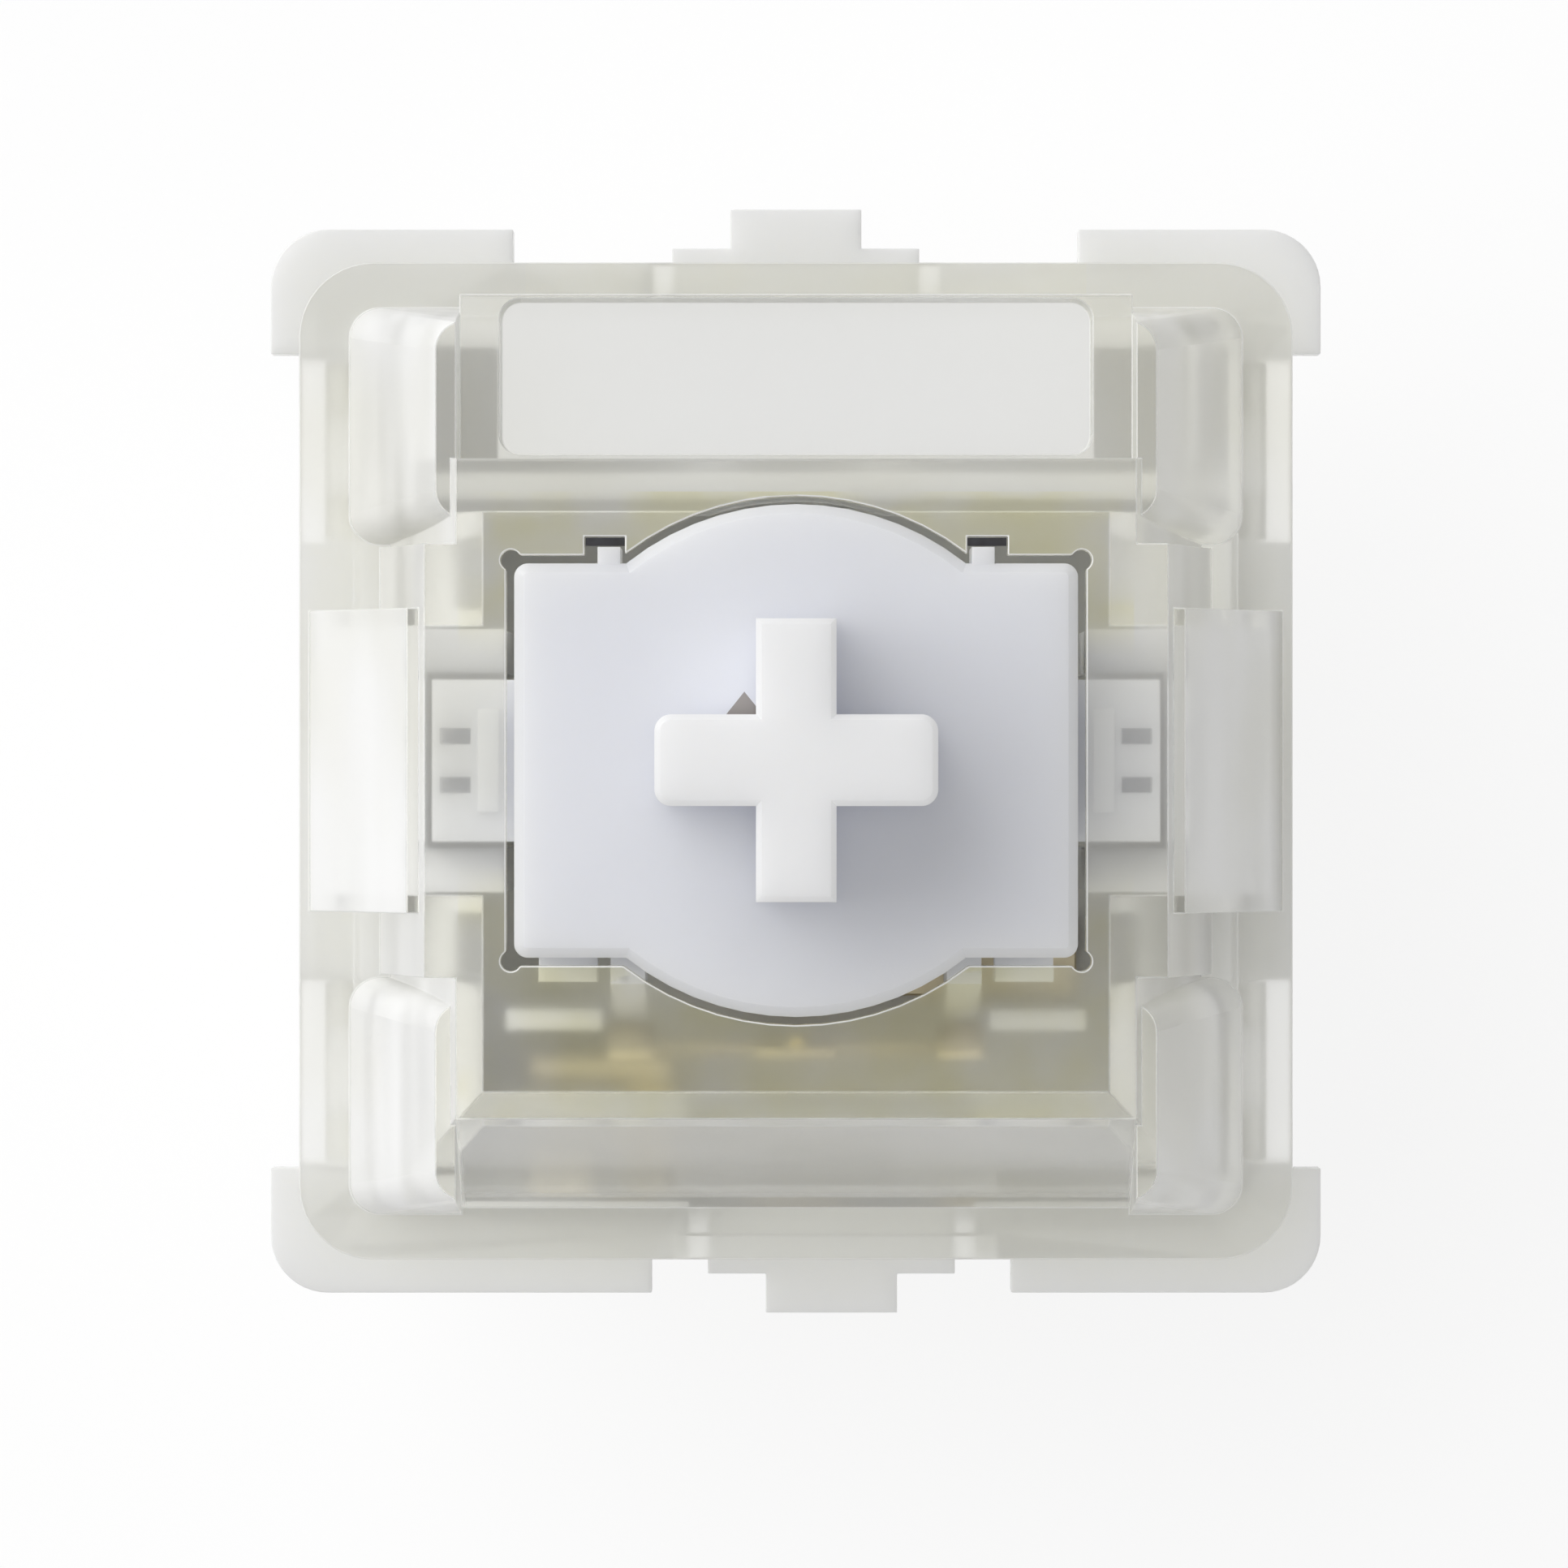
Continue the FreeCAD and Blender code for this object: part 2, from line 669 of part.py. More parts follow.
def hood_reach(height):
    """Half width of the space under the bulge at a height."""
    return f"(bulge_head + {BULGE_SLOPE} * ({BULGE_TOP} - {height}) - hood_wall)"


def corner_ridge(label, side_x, side_y):
    """Rib with a sloping outer face along one end of the cover's side."""
    z = (RIM_TOP, "roof_height - ridge_drop")
    low_x = span(side_x, "core_foot / 2", "ridge_outer")
    low_y = span(side_y, "ridge_start", "ridge_end")
    high_x = span(side_x, "core_foot / 2", "ridge_inner + ridge_crest")
    high_y = span(side_y, "ridge_start + ridge_lean", "ridge_end - ridge_lean")
    blank = frustum(f"{label}_ridge_blank", z, low_x, low_y, high_x, high_y)

    def outer(edge):
        return upright(edge) and abs(edge.BoundBox.Center.x) > number("ridge_inner")

    whole = rounded(f"{label}_ridge_whole", blank, "ridge_round", outer)
    inner = block(f"{label}_ridge_side", span(side_x, "0", "ridge_inner"), span(side_y, "0", BEYOND), z)
    return cut(f"{label}_ridge", whole, [inner])


def latch_leg(label, side_x, side_y):
    """Leg that reaches down the lower housing's side and catches a nub in its window."""
    x = span(side_x, LATCH_INNER, "lower_wide / 2")
    y = span(side_y, "latch_near", "latch_far")
    leg = block(f"{label}_latch_leg", x, y, ("latch_low", f"{RIM_LOW} + rim_high / 2"))
    window_x = span(side_x, "0", BEYOND)
    window_y = span(side_y, "latch_near + latch_window_margin", "latch_far - latch_window_margin")
    low = "(latch_low + latch_bar)"
    window = block(f"{label}_latch_window", window_x, window_y, (low, f"{low} + latch_window_high"))
    return cut(f"{label}_latch", leg, [window])


def cover_skin():
    """The cover's outer form."""
    rim = block("rim_blank", both("waist_wide / 2"), both("waist_deep / 2"), (RIM_LOW, RIM_TOP))
    full = (RIM_TOP, "roof_height")
    core_low_y = ("0 - south_foot", "north_face")
    core_high_y = ("0 - south_head", "north_face")
    core = frustum("cover_core", full, both("core_foot"), core_low_y, both("core_head"), core_high_y)
    side_y = both("pilaster_half")
    pilaster = frustum("pilaster", full, both("pilaster_foot"), side_y, both("pilaster_head"), side_y)
    bulge_y = both(BULGE_HALF)
    bulge_z = (RIM_TOP, BULGE_TOP)
    bulge = frustum("bulge", bulge_z, both("bulge_foot"), bulge_y, both("bulge_head"), bulge_y)
    deck_y = ("north_face - core_wall", "lamp_deck_reach")
    deck = block("lamp_deck", both("lamp_deck_half"), deck_y, (RIM_TOP, DECK_TOP))
    ridges = [corner_ridge(*corner) for corner in CORNERS]
    return fuse("cover_skin", [rounded("rim", rim, "rim_round"), core, pilaster, bulge, deck] + ridges)


def cover_openings():
    """What is hollow in the cover: its inside, the lamp window, the stem's opening and its notches."""
    low_y = ("0 - south_foot + core_wall / 2", "north_face - core_wall")
    high_y = ("0 - south_head + core_wall / 2", "north_face - core_wall")
    low_x, high_x = both("core_foot - core_wall / 4"), both("core_head - core_wall / 2")
    inside = frustum("cover_hollow", (RIM_LOW, ROOF_UNDER), low_x, low_y, high_x, high_y)
    rim_room = block("rim_room", both(CAVITY_X), both(CAVITY_Y), (RIM_LOW, PANE_UNDER))
    hood_y = both("tower_half + tower_gap")
    hood_low, hood_high = both(hood_reach(RIM_TOP)), both(hood_reach(ROOF_UNDER))
    hood = frustum("hood", (RIM_TOP, ROOF_UNDER), hood_low, hood_y, hood_high, hood_y)
    hood_foot = block("hood_foot", both(CAVITY_X), hood_y, (RIM_LOW, RIM_TOP))
    window_y = ("lamp_south", "lamp_north")
    window = block("lamp_window_blank", both("lamp_half"), window_y, (PANE_TOP, ABOVE))
    window = rounded("lamp_window", window, "lamp_corner")
    stem_hole = doc.addObject("PartDesign::Body", "stem_opening")
    shape = new_sketch(stem_hole, "stem_opening_outline", "XY", RIM_LOW)
    stem_outline(shape, "stem_clearance")
    pad(stem_hole, "stem_opening_pad", shape, "roof_height")
    inset = "(stem_clearance + corner_relief_proud - corner_relief)"
    reliefs = []
    for label, side_x, side_y in CORNERS:
        x = f"{side_x} * (stem_half_x + {inset})"
        y = f"{side_y} * (stem_half_y + {inset})"
        reliefs.append(round_hole(f"{label}_corner_relief", "corner_relief", x, y, (RIM_TOP, ABOVE)))
    notch_x = ("0 - rim_notch_west", "rim_notch_east")
    notch_y = span(-1, "waist_deep / 2 - rim_notch_deep", BEYOND)
    notch = block("rim_notch", notch_x, notch_y, (RIM_LOW, f"{RIM_LOW} + rim_notch_high"))
    key_y = ("stem_half_y / 2", "stem_half_y + key_reach + key_end_gap")
    keys = []
    for label, side in WEST_EAST:
        x = span(side, "key_near - key_near_gap", "key_far + key_far_gap")
        keys.append(block(f"{label}_key_notch", x, key_y, (RIM_TOP, ABOVE)))
    return [inside, rim_room, hood, hood_foot, window, stem_hole, notch] + reliefs + keys


def make_top_housing():
    carved = cut("cover_carved", cover_skin(), cover_openings())
    return fuse("top_housing", [carved] + [latch_leg(*corner) for corner in CORNERS])


def platform_corner(edge):
    """An upright edge at one of the platform's four outer corners."""
    return upright(edge) and abs(abs(edge.BoundBox.Center.x) - number("stem_half_x")) < 1e-4


def cross_end(edge):
    """An upright edge at the east or west end of the cross."""
    middle = edge.BoundBox.Center
    at_end = abs(abs(middle.x) - number("cross_long / 2")) < 1e-4
    return upright(edge) and at_end and middle.z > number("roof_height")


def add_platform(body):
    """The platform that fills the cover's opening, and the skirt and spring cup under it."""
    platform = new_sketch(body, "platform_outline", "XY", PLATFORM_LOW)
    stem_outline(platform, "0")
    pad(body, "platform", platform, "platform_thick")
    dressed(body, "Fillet", "platform_corners", "stem_corner", platform_corner)
    dressed(body, "Chamfer", "platform_edge", "platform_chamfer", lambda e: level_at(e, PLATFORM_TOP))
    skirt = new_sketch(body, "skirt_outline", "XY", PLATFORM_LOW)
    oblong(skirt, both("stem_half_x - stem_corner / 4"), both("stem_half_y - stem_corner / 4"))
    pad(body, "skirt", skirt, "skirt_high", back=True)
    cup = new_sketch(body, "cup_outline", "XY", SKIRT_LOW)
    circle(cup, "cup_diameter / 2")
    pocket(body, "cup", cup, f"cup_ceiling - {SKIRT_LOW}", back=True)
    pole = new_sketch(body, "pole_outline", "XY", "pole_low")
    circle(pole, "pole_diameter / 2")
    pad(body, "pole", pole, f"{PLATFORM_LOW} - pole_low")
    dressed(body, "Chamfer", "pole_end", "pole_tip", lambda e: level_at(e, "pole_low"))


def add_rails(body):
    """Guide rails with their pads and pits, keys on the north side and shoulders on the south."""
    rails = new_sketch(body, "rail_outline", "XY", RAIL_TOP)
    for _, side in WEST_EAST:
        oblong(rails, span(side, "stem_half_x - stem_corner", "rail_reach"), both("rail_half"))
    pad(body, "rails", rails, "rail_high", back=True)
    pads = new_sketch(body, "rail_pad_outline", "XY", RAIL_TOP)
    for _, side in WEST_EAST:
        oblong(pads, span(side, "rail_pad_start", "rail_pad_end"), both("rail_pad_half"))
    pad(body, "rail_pads", pads, "rail_pad_high")
    pits = new_sketch(body, "rail_pit_outline", "XY", RAIL_TOP)
    for _, side, end in CORNERS:
        x = span(side, "rail_pit_start", "rail_pit_end")
        oblong(pits, x, span(end, "rail_pit_near", "rail_pit_far"))
    pocket(body, "rail_pits", pits, "rail_pit_deep")
    root = "stem_half_y - stem_corner"
    keys = new_sketch(body, "key_outline", "XY", f"{PLATFORM_TOP} - key_drop")
    for _, side in WEST_EAST:
        oblong(keys, span(side, "key_near", "key_far"), span(1, root, "stem_half_y + key_reach"))
    pad(body, "keys", keys, "key_high", back=True)
    shoulders = new_sketch(body, "shoulder_outline", "XY", RAIL_TOP)
    for _, side in WEST_EAST:
        y = span(-1, root, "stem_half_y + shoulder_reach")
        oblong(shoulders, span(side, "shoulder_near", "shoulder_far"), y)
    pad(body, "shoulders", shoulders, "shoulder_high", back=True)


def add_cross(body):
    """The cross that the keycap is pressed onto."""
    cross = new_sketch(body, "cross_plan", "XY", PLATFORM_TOP)
    long, arm_x, arm_y = "cross_long / 2", "cross_arm_x / 2", "cross_arm_y / 2"
    quarter = [(long, arm_x), (arm_y, arm_x), (arm_y, long)]
    plan = list(quarter)
    plan += [(f"0 - {a}", b) for a, b in reversed(quarter)]
    plan += [(f"0 - {a}", f"0 - {b}") for a, b in quarter]
    plan += [(a, f"0 - {b}") for a, b in reversed(quarter)]
    outline(cross, plan)
    pad(body, "cross", cross, "cross_rise + stem_below_roof")
    dressed(body, "Fillet", "cross_ends", "cross_round", cross_end)
    top = "roof_height + cross_rise"
    dressed(body, "Chamfer", "cross_edge", "cross_chamfer", lambda e: level_at(e, top))


def add_legs(body):
    """Two legs whose slanted faces hold the leaf off at rest and let it follow on the way down."""
    toe = "(bump_height - leg_toe)"
    root = "0 - stem_half_y + stem_corner"
    profile = [
        (root, PLATFORM_LOW),
        ("0 - leg_reach + leg_relief", PLATFORM_LOW),
        ("0 - leg_reach", "bump_height"),
        ("0 - leg_reach", f"{toe} + leg_heel / 2"),
        ("0 - leg_reach + leg_heel", toe),
        (root, toe),
    ]
    for label, side in WEST_EAST:
        leg = new_sketch(body, f"{label}_leg_profile", "YZ", span(side, "leg_near", "leg_far")[0])
        outline(leg, profile)
        pad(body, f"{label}_leg", leg, "leg_far - leg_near")


def make_stem():
    body = doc.addObject("PartDesign::Body", "stem")
    add_platform(body)
    add_rails(body)
    add_legs(body)
    add_cross(body)
    return body


def make_return_spring():
    """Coil from the floor to the ceiling of the stem's cup; its round wire is drawn six-sided."""
    low = "(floor_thick + spring_wire / 2)"
    coil_high = "(cup_ceiling - floor_thick - spring_wire)"
    coil = doc.addObject("Part::Helix", "spring_path")
    bind(
        coil,
        Pitch=f"{coil_high} / spring_turns",
        Height=coil_high,
        Radius="spring_diameter / 2",
        Placement__Base__z=low,
    )
    wire = doc.addObject("Part::RegularPolygon", "spring_section")
    wire.Polygon = 6
    wire.Placement.Rotation = FreeCAD.Rotation(FreeCAD.Vector(1, 0, 0), 90)
    bind(
        wire,
        Circumradius="spring_wire / 2",
        Placement__Base__x="spring_diameter / 2",
        Placement__Base__z=low,
    )
    swept = doc.addObject("Part::Sweep", "return_spring")
    swept.Sections = [wire]
    swept.Spine = (coil, [])
    swept.Solid = True
    swept.Frenet = True
    return swept


def add_pin(body, name, x, y):
    """Flat solder pin with a narrowed end, from the sheet on the floor down."""
    sketch = new_sketch(body, f"{name}_outline", "XZ", f"{y} - sheet_thick / 2")
    wide, tip = "pin_wide / 2", "pin_tip / 2"
    outline(
        sketch,
        [
            (f"{x} - {wide}", FLOOR_SHEET),
            (f"{x} - {wide}", f"{PIN_LOW} + pin_taper"),
            (f"{x} - {tip}", PIN_LOW),
            (f"{x} + {tip}", PIN_LOW),
            (f"{x} + {wide}", f"{PIN_LOW} + pin_taper"),
            (f"{x} + {wide}", FLOOR_SHEET),
        ],
    )
    pad(body, name, sketch, "sheet_thick")


def make_fixed_terminal():
    """Sheet bent up from a foot on the floor, with its solder pin bent down."""
    body = doc.addObject("PartDesign::Body", "fixed_contact_terminal")
    foot = new_sketch(body, "fixed_foot_outline", "XY", "floor_thick")
    foot_x = ("0 - fixed_plate_half", "fixed_pin_x + pin_wide / 2")
    oblong(foot, foot_x, ("0 - fixed_face", "0 - fixed_pin_y + sheet_thick / 2"))
    pad(body, "fixed_foot", foot, "sheet_thick")
    plate = new_sketch(body, "fixed_plate_outline", "XZ", "fixed_face - sheet_thick")
    oblong(plate, both("fixed_plate_half"), ("floor_thick", "fixed_top"))
    pad(body, "fixed_plate", plate, "sheet_thick")
    add_pin(body, "fixed_pin", "fixed_pin_x", "fixed_pin_y")
    return body


def make_moving_terminal():
    """Sheet with a foot on the floor, a plate behind the leaf, a folded tab and a solder pin."""
    body = doc.addObject("PartDesign::Body", "moving_contact_terminal")
    foot_x = ("0 - tab_west", "0 - weld_plate_east")
    foot = new_sketch(body, "moving_foot_outline", "XY", "floor_thick")
    oblong(foot, foot_x, (f"0 - {INNER_Y}", f"0 - {WELD_FACE}"))
    pad(body, "moving_foot", foot, "sheet_thick")
    plate = new_sketch(body, "weld_plate_outline", "XZ", WELD_FACE)
    oblong(plate, foot_x, ("floor_thick", "weld_plate_top"))
    pad(body, "weld_plate", plate, "sheet_thick")
    wall = f"0 - {INNER_Y}"
    tab = new_sketch(body, "tab_profile", "YZ", "0 - tab_west")
    outline(
        tab,
        [
            (wall, "floor_thick"),
            (f"{wall} + sheet_thick", "floor_thick"),
            (f"{wall} + sheet_thick", "tab_high - sheet_thick"),
            (f"{wall} + tab_flap", "tab_high - sheet_thick"),
            (f"{wall} + tab_flap", "tab_high"),
            (wall, "tab_high"),
        ],
    )
    pad(body, "tab", tab, "tab_west - tab_east")
    add_pin(body, "moving_pin", "0 - moving_pin_x", "moving_pin_y")
    return body


def make_leaf():
    """Spring leaf: a bar at the foot, two fingers that the stem's legs push and a contact tongue."""
    blade = doc.addObject("PartDesign::Body", "leaf_blade")
    finger = "(leg_near + leg_far) / 2"
    near, far = f"{finger} - leaf_finger_half", f"{finger} + leaf_finger_half"
    bar_top = "leaf_low + leaf_bar_high"
    right = [
        ("leaf_tongue_half", "leaf_tongue_top"),
        ("leaf_tongue_half", bar_top),
        (near, bar_top),
        (near, "leaf_top"),
        (far, "leaf_top"),
        (far, "leaf_low"),
    ]
    left = [(f"0 - ({a})", b) for a, b in reversed(right)]
    flat = new_sketch(blade, "leaf_outline", "XZ", "leaf_face")
    outline(flat, left + right)
    pad(blade, "leaf_sheet", flat, "leaf_thick")
    pieces = [blade]
    for label, side in WEST_EAST:
        bump = doc.addObject("Part::Cylinder", f"{label}_bump")
        bump.Placement.Rotation = FreeCAD.Rotation(FreeCAD.Vector(0, 1, 0), 90)
        bump.Angle = 180
        bind(
            bump,
            Radius="leaf_face - leg_reach - bump_gap",
            Height="2 * leaf_finger_half",
            Placement__Base__x=f"({side}) * {finger} - leaf_finger_half",
            Placement__Base__y="0 - leaf_face",
            Placement__Base__z="bump_height",
        )
        pieces.append(bump)
    return fuse("moving_contact_leaf", pieces)


def contact_point(name, side, face, along_x):
    """Small roof-shaped bar whose crest faces the other contact."""
    long, wide, crest = "point_long / 2", "point_wide / 2", "point_wide / 6"
    half_x, crest_x = (long, long) if along_x else (wide, crest)
    half_z, crest_z = (wide, crest) if along_x else (long, long)
    item = doc.addObject("Part::Wedge", name)
    if side < 0:
        item.Placement.Rotation = FreeCAD.Rotation(FreeCAD.Vector(0, 0, 1), 180)
    return bind(
        item,
        Ymin="0",
        Ymax="point_proud",
        Xmin=f"0 - {half_x}",
        Xmax=half_x,
        Zmin=f"0 - {half_z}",
        Zmax=half_z,
        X2min=f"0 - {crest_x}",
        X2max=crest_x,
        Z2min=f"0 - {crest_z}",
        Z2max=crest_z,
        Placement__Base__y=f"0 - {face}",
        Placement__Base__z="point_height",
    )


NODES = {
    "bottom_housing": make_bottom_housing(),
    "top_housing": make_top_housing(),
    "stem": make_stem(),
    "return_spring": make_return_spring(),
    "fixed_contact_terminal": make_fixed_terminal(),
    "fixed_crosspoint": contact_point("fixed_crosspoint", -1, "fixed_face", True),
    "moving_contact_terminal": make_moving_terminal(),
    "moving_contact_leaf": make_leaf(),
    "moving_crosspoint": contact_point("moving_crosspoint", 1, "leaf_face", False),
}

doc.recompute()
for item in doc.Objects:
    if "Invalid" in item.State or "Error" in item.State:
        raise RuntimeError(f"{item.Name} failed: {item.State}")
os.makedirs("parts", exist_ok=True)
for node, item in NODES.items():
    item.Label = node
    if item.Shape.isNull() or not item.Shape.isValid():
        raise RuntimeError(f"{node} has no valid shape")
    print(node, len(item.Shape.Solids), round(item.Shape.Volume, 3))
for node, item in NODES.items():
    item.Shape.exportStep(f"parts/{node}.step")
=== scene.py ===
# Looks of the plunger switch: a clear cover, milky moulded parts, spring wire and contact metal,
# on a white floor under soft studio light, seen from straight above. Metres.

import math

import bmesh
import bpy
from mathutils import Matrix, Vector


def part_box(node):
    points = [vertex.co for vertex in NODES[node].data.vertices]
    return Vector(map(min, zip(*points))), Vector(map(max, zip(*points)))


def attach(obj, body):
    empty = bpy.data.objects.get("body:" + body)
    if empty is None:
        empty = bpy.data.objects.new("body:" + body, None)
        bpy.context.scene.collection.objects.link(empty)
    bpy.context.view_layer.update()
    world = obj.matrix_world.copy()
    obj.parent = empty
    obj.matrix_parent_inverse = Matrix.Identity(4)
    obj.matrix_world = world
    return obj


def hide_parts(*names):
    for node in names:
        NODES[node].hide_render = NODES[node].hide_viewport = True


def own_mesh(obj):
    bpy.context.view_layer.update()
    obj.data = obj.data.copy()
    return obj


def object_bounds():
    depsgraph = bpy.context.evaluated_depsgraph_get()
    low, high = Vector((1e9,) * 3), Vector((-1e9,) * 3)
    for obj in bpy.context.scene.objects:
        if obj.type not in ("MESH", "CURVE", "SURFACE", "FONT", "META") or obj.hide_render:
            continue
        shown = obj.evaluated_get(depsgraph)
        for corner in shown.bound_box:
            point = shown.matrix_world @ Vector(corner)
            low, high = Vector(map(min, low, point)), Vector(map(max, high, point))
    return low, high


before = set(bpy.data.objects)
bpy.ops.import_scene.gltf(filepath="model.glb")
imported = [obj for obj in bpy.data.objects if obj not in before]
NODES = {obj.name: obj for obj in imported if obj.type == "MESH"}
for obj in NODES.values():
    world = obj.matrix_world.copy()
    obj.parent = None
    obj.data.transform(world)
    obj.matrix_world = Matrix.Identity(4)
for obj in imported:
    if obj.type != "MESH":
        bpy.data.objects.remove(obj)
CAD_LOW, CAD_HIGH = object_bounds()
MM = 0.001

# The photograph's frame, the camera's place over it, and the nearest and farthest that it sees.
PHOTO_PX = 1932
SENSOR_WIDE = 36.0
FOCAL_PX = 18820.0
CAMERA_AT = (-0.175 * MM, -0.34 * MM, 233 * MM)
CAMERA_REACH = (0.01, 10.0)

# Light levels. Together they render a colour about as it is written.
WORLD_LEVEL = 0.41
WORLD_SEEN = 1.0
KEY_LEVEL = 1.2
KEY_AT = (-0.225, 0.168, 0.228)
KEY_SIZE = 0.48
FILL_LEVEL = 0.13
FILL_AT = (0.16, -0.3, 0.1)
FILL_SIZE = 0.3

# The floor: its side, its gap under the pins, its paper, and its glow as it is seen and as it lights.
FLOOR_SIDE = 0.5
FLOOR_GAP = 0.02 * MM
FLOOR_PAPER = 0.24
FLOOR_GLOW = 0.79
FLOOR_BOUNCE = 0.45

# Places on the cover in millimetres. A wall's line is its distance at the roof's underside and its lean.
RIM_TOP = 7.0
ROOF_UNDER = 10.5
ROOF_TOP = 11.6
WALLS_ABOVE = RIM_TOP + 0.05
NORTH_WALL = 4.0
SIDE_WALL = (4.9, 0.229)
SOUTH_WALL = (5.18, 0.3)
PANE_BOX = ((-4.4, 4.4), (4.45, 6.83), (6.7, 7.45))
ROOF_BOX = ((-4.9, 4.9), (-5.2, 3.9), (ROOF_UNDER - 0.1, ROOF_TOP + 0.1))
OPENING_BOX = ((-4.35, 4.35), (-3.95, 3.95), (ROOF_UNDER - 0.1, ROOF_TOP + 0.02))
NORTH_RIM_BOX = ((-4.0, 4.3), (6.9, 7.4), (RIM_TOP - 0.1, RIM_TOP + 0.1))

# Pairs of places in millimetres between which a look of the cover or the stem fades in or out.
RIM_FADE_Z = (RIM_TOP, RIM_TOP + 0.1)
RIM_END_Y = (5.9, 6.6)
OLIVE_FROM_Y = (1.5, 2.4)
ROOF_FADE_X = (4.3, 5.1)
ROOF_FADE_Y = (3.4, 4.2)
ROOF_CLEAR_Y = (-4.0, 4.0)
# The walls' painted shade runs across these places.
WALL_SHADE_SPAN_X = (-7.0, 7.0)
SLOPE_FADE_X = (4.85, 5.0)
SLOPE_FADE_Y = (-5.2, -5.1)
# The cross's painted light fades in between these heights.
CROSS_LIGHT_FADE_Z = (ROOF_TOP, ROOF_TOP + 0.5)

# A face's slant is 0 when it stands upright and 1 when it lies flat. Steep walls end within the first
# pair of slants, and the strips of rounded edges lie between the other two pairs.
STEEP_TO_FLAT = (0.2, 0.5)
EDGE_FROM = (0.125, 0.135)
EDGE_TO = (0.92, 0.93)

# The cover's colours. The first two are pairs of noise levels, each with its colour.
CLEAR_STOPS = ((0.36, (0.93, 0.925, 0.88)), (0.56, (0.985, 0.985, 0.978)))
# The olive is partly the plastic's own tint and partly painted shade over the deep inside and the rim's
# gap.
OLIVE_STOPS = ((0.38, (0.93, 0.9, 0.64)), (0.62, (0.995, 0.985, 0.88)))
# Painted shade: a grey at the rim's ends for the shade of the gap between the cover's skirt and the base's
# wall.
RIM_END_SHADE_COLOUR = (0.86, 0.86, 0.82)
PANE_COLOUR = (0.985, 0.985, 0.985)
# Painted shade: the walls of the stem's opening are browner, for the shade in the gap round the stem.
CUT_SHADE_COLOUR = (0.8, 0.76, 0.6)
# Painted highlight: rounded edges turn white and less clear, for the bright lines along the cover's edges.
EDGE_HIGHLIGHT_COLOUR = (0.99, 0.99, 0.98)
LAMP_TINT = (0.98, 0.98, 0.97)
DEPTH_TINT = (0.9, 0.89, 0.8)
DEPTH_DENSITY = 110.0

# Shares of a painted shade at the rim's ends and over the rim's north gap, and how far in millimetres the
# olive's borders wander between two noise levels.
RIM_END_SHADE_SHARE = 0.6
GAP_SHADE_SHARE = 0.6
WANDER = 0.8
WANDER_LEVELS = (0.3, 0.7)

# How rough each part of the cover is. The roof varies between two values.
ROOF_ROUGH = (0.1, 0.2)
RIM_ROUGH = 0.3
WALL_ROUGH = 0.35
SLOPE_ROUGH = 0.18
PANE_ROUGH = 0.6

# How clear each part of the cover is. The roof goes from south to north, and the walls go from west to
# east, a painted shade that leaves the east walls clearer and greyer, with streaks between two noise
# levels on top.
# Rounded edges carry a painted highlight: they whiten, less away from the opening.
ROOF_CLEAR = (0.93, 0.78)
RIM_CLEAR = 0.82
WALL_SHADE_CLEAR = (0.0, 0.28)
STREAK_CLEAR = (0.0, 0.5)
STREAK_LEVELS = (0.25, 0.75)
SLOPE_CLEAR = 0.82
CUT_CLEAR = 0.5
# The rounded edges' painted highlight: how clear they stay, and how it fades away from the opening.
EDGE_HIGHLIGHT_CLEAR = 0.2
EDGE_HIGHLIGHT_REACH = (0.45, 1.0)
PANE_CLEAR = 0.12

# Noises: cycles a metre, or one an axis, and how much finer noise lies on them.
COVER_CLOUDS = (260.0, 1.0)
COVER_MOTTLE = (650.0, 2.0)
COVER_RIPPLE = (900.0, 0.0)
COVER_STREAKS = ((2200.0, 160.0, 500.0), 1.0)
MILKY_CLOUDS = (300.0, 3.0)
MILKY_GRAIN = (9000.0, 2.0)
METAL_TARNISH = (700.0, 3.0)
METAL_STREAKS = (6000.0, 2.0)
STRIP_MOTTLE = (4000.0, 3.0)

# Fine reliefs: strength and depth.
COVER_RELIEF = (0.1, 0.02 * MM)
MILKY_RELIEF = (0.15, 0.01 * MM)
METAL_RELIEF = (0.1, 0.01 * MM)

# Milky plastics: pale and deep colours, how far light sinks in, and roughness. Then the noise levels of
# the two colours, the roughness's spread, and the share and colour of the light that sinks in.
MILKY_BASE = ((0.9, 0.9, 0.885), (0.87, 0.87, 0.85), 0.9 * MM, 0.32)
MILKY_STEM = ((0.81, 0.82, 0.86), (0.78, 0.79, 0.83), 1.4 * MM, 0.34)
MILKY_LEVELS = (0.3, 0.7)
MILKY_ROUGH_SPREAD = (-0.06, 0.08)
MILKY_SCATTER_SHARE = 0.85
MILKY_SCATTER_COLOUR = (1.0, 0.98, 0.94)
PLASTIC_IOR = 1.5

# Metals: pale and dull colours, and roughness. Then the two colours' noise levels and roughness spread.
SPRING_STEEL = ((0.78, 0.77, 0.74), (0.66, 0.65, 0.62), 0.28)
CONTACT_SHEET = ((0.8, 0.72, 0.56), (0.66, 0.58, 0.44), 0.3)
CONTACT_BAR = ((0.92, 0.78, 0.42), (0.85, 0.7, 0.36), 0.2)
METAL_LEVELS = (0.35, 0.65)
METAL_ROUGH_SPREAD = (-0.08, 0.12)

# Dark strips in the two notches north of the stem, in millimetres, and their colours and roughness.
NOTCH_X = (2.49, 3.06)
NOTCH_Y = (3.12, 3.24)
NOTCH_Z = (10.9, 11.0)
STRIP_STOPS = ((0.3, (0.02, 0.02, 0.025)), (0.7, (0.05, 0.05, 0.06)))
STRIP_ROUGH = (0.5, 0.8)

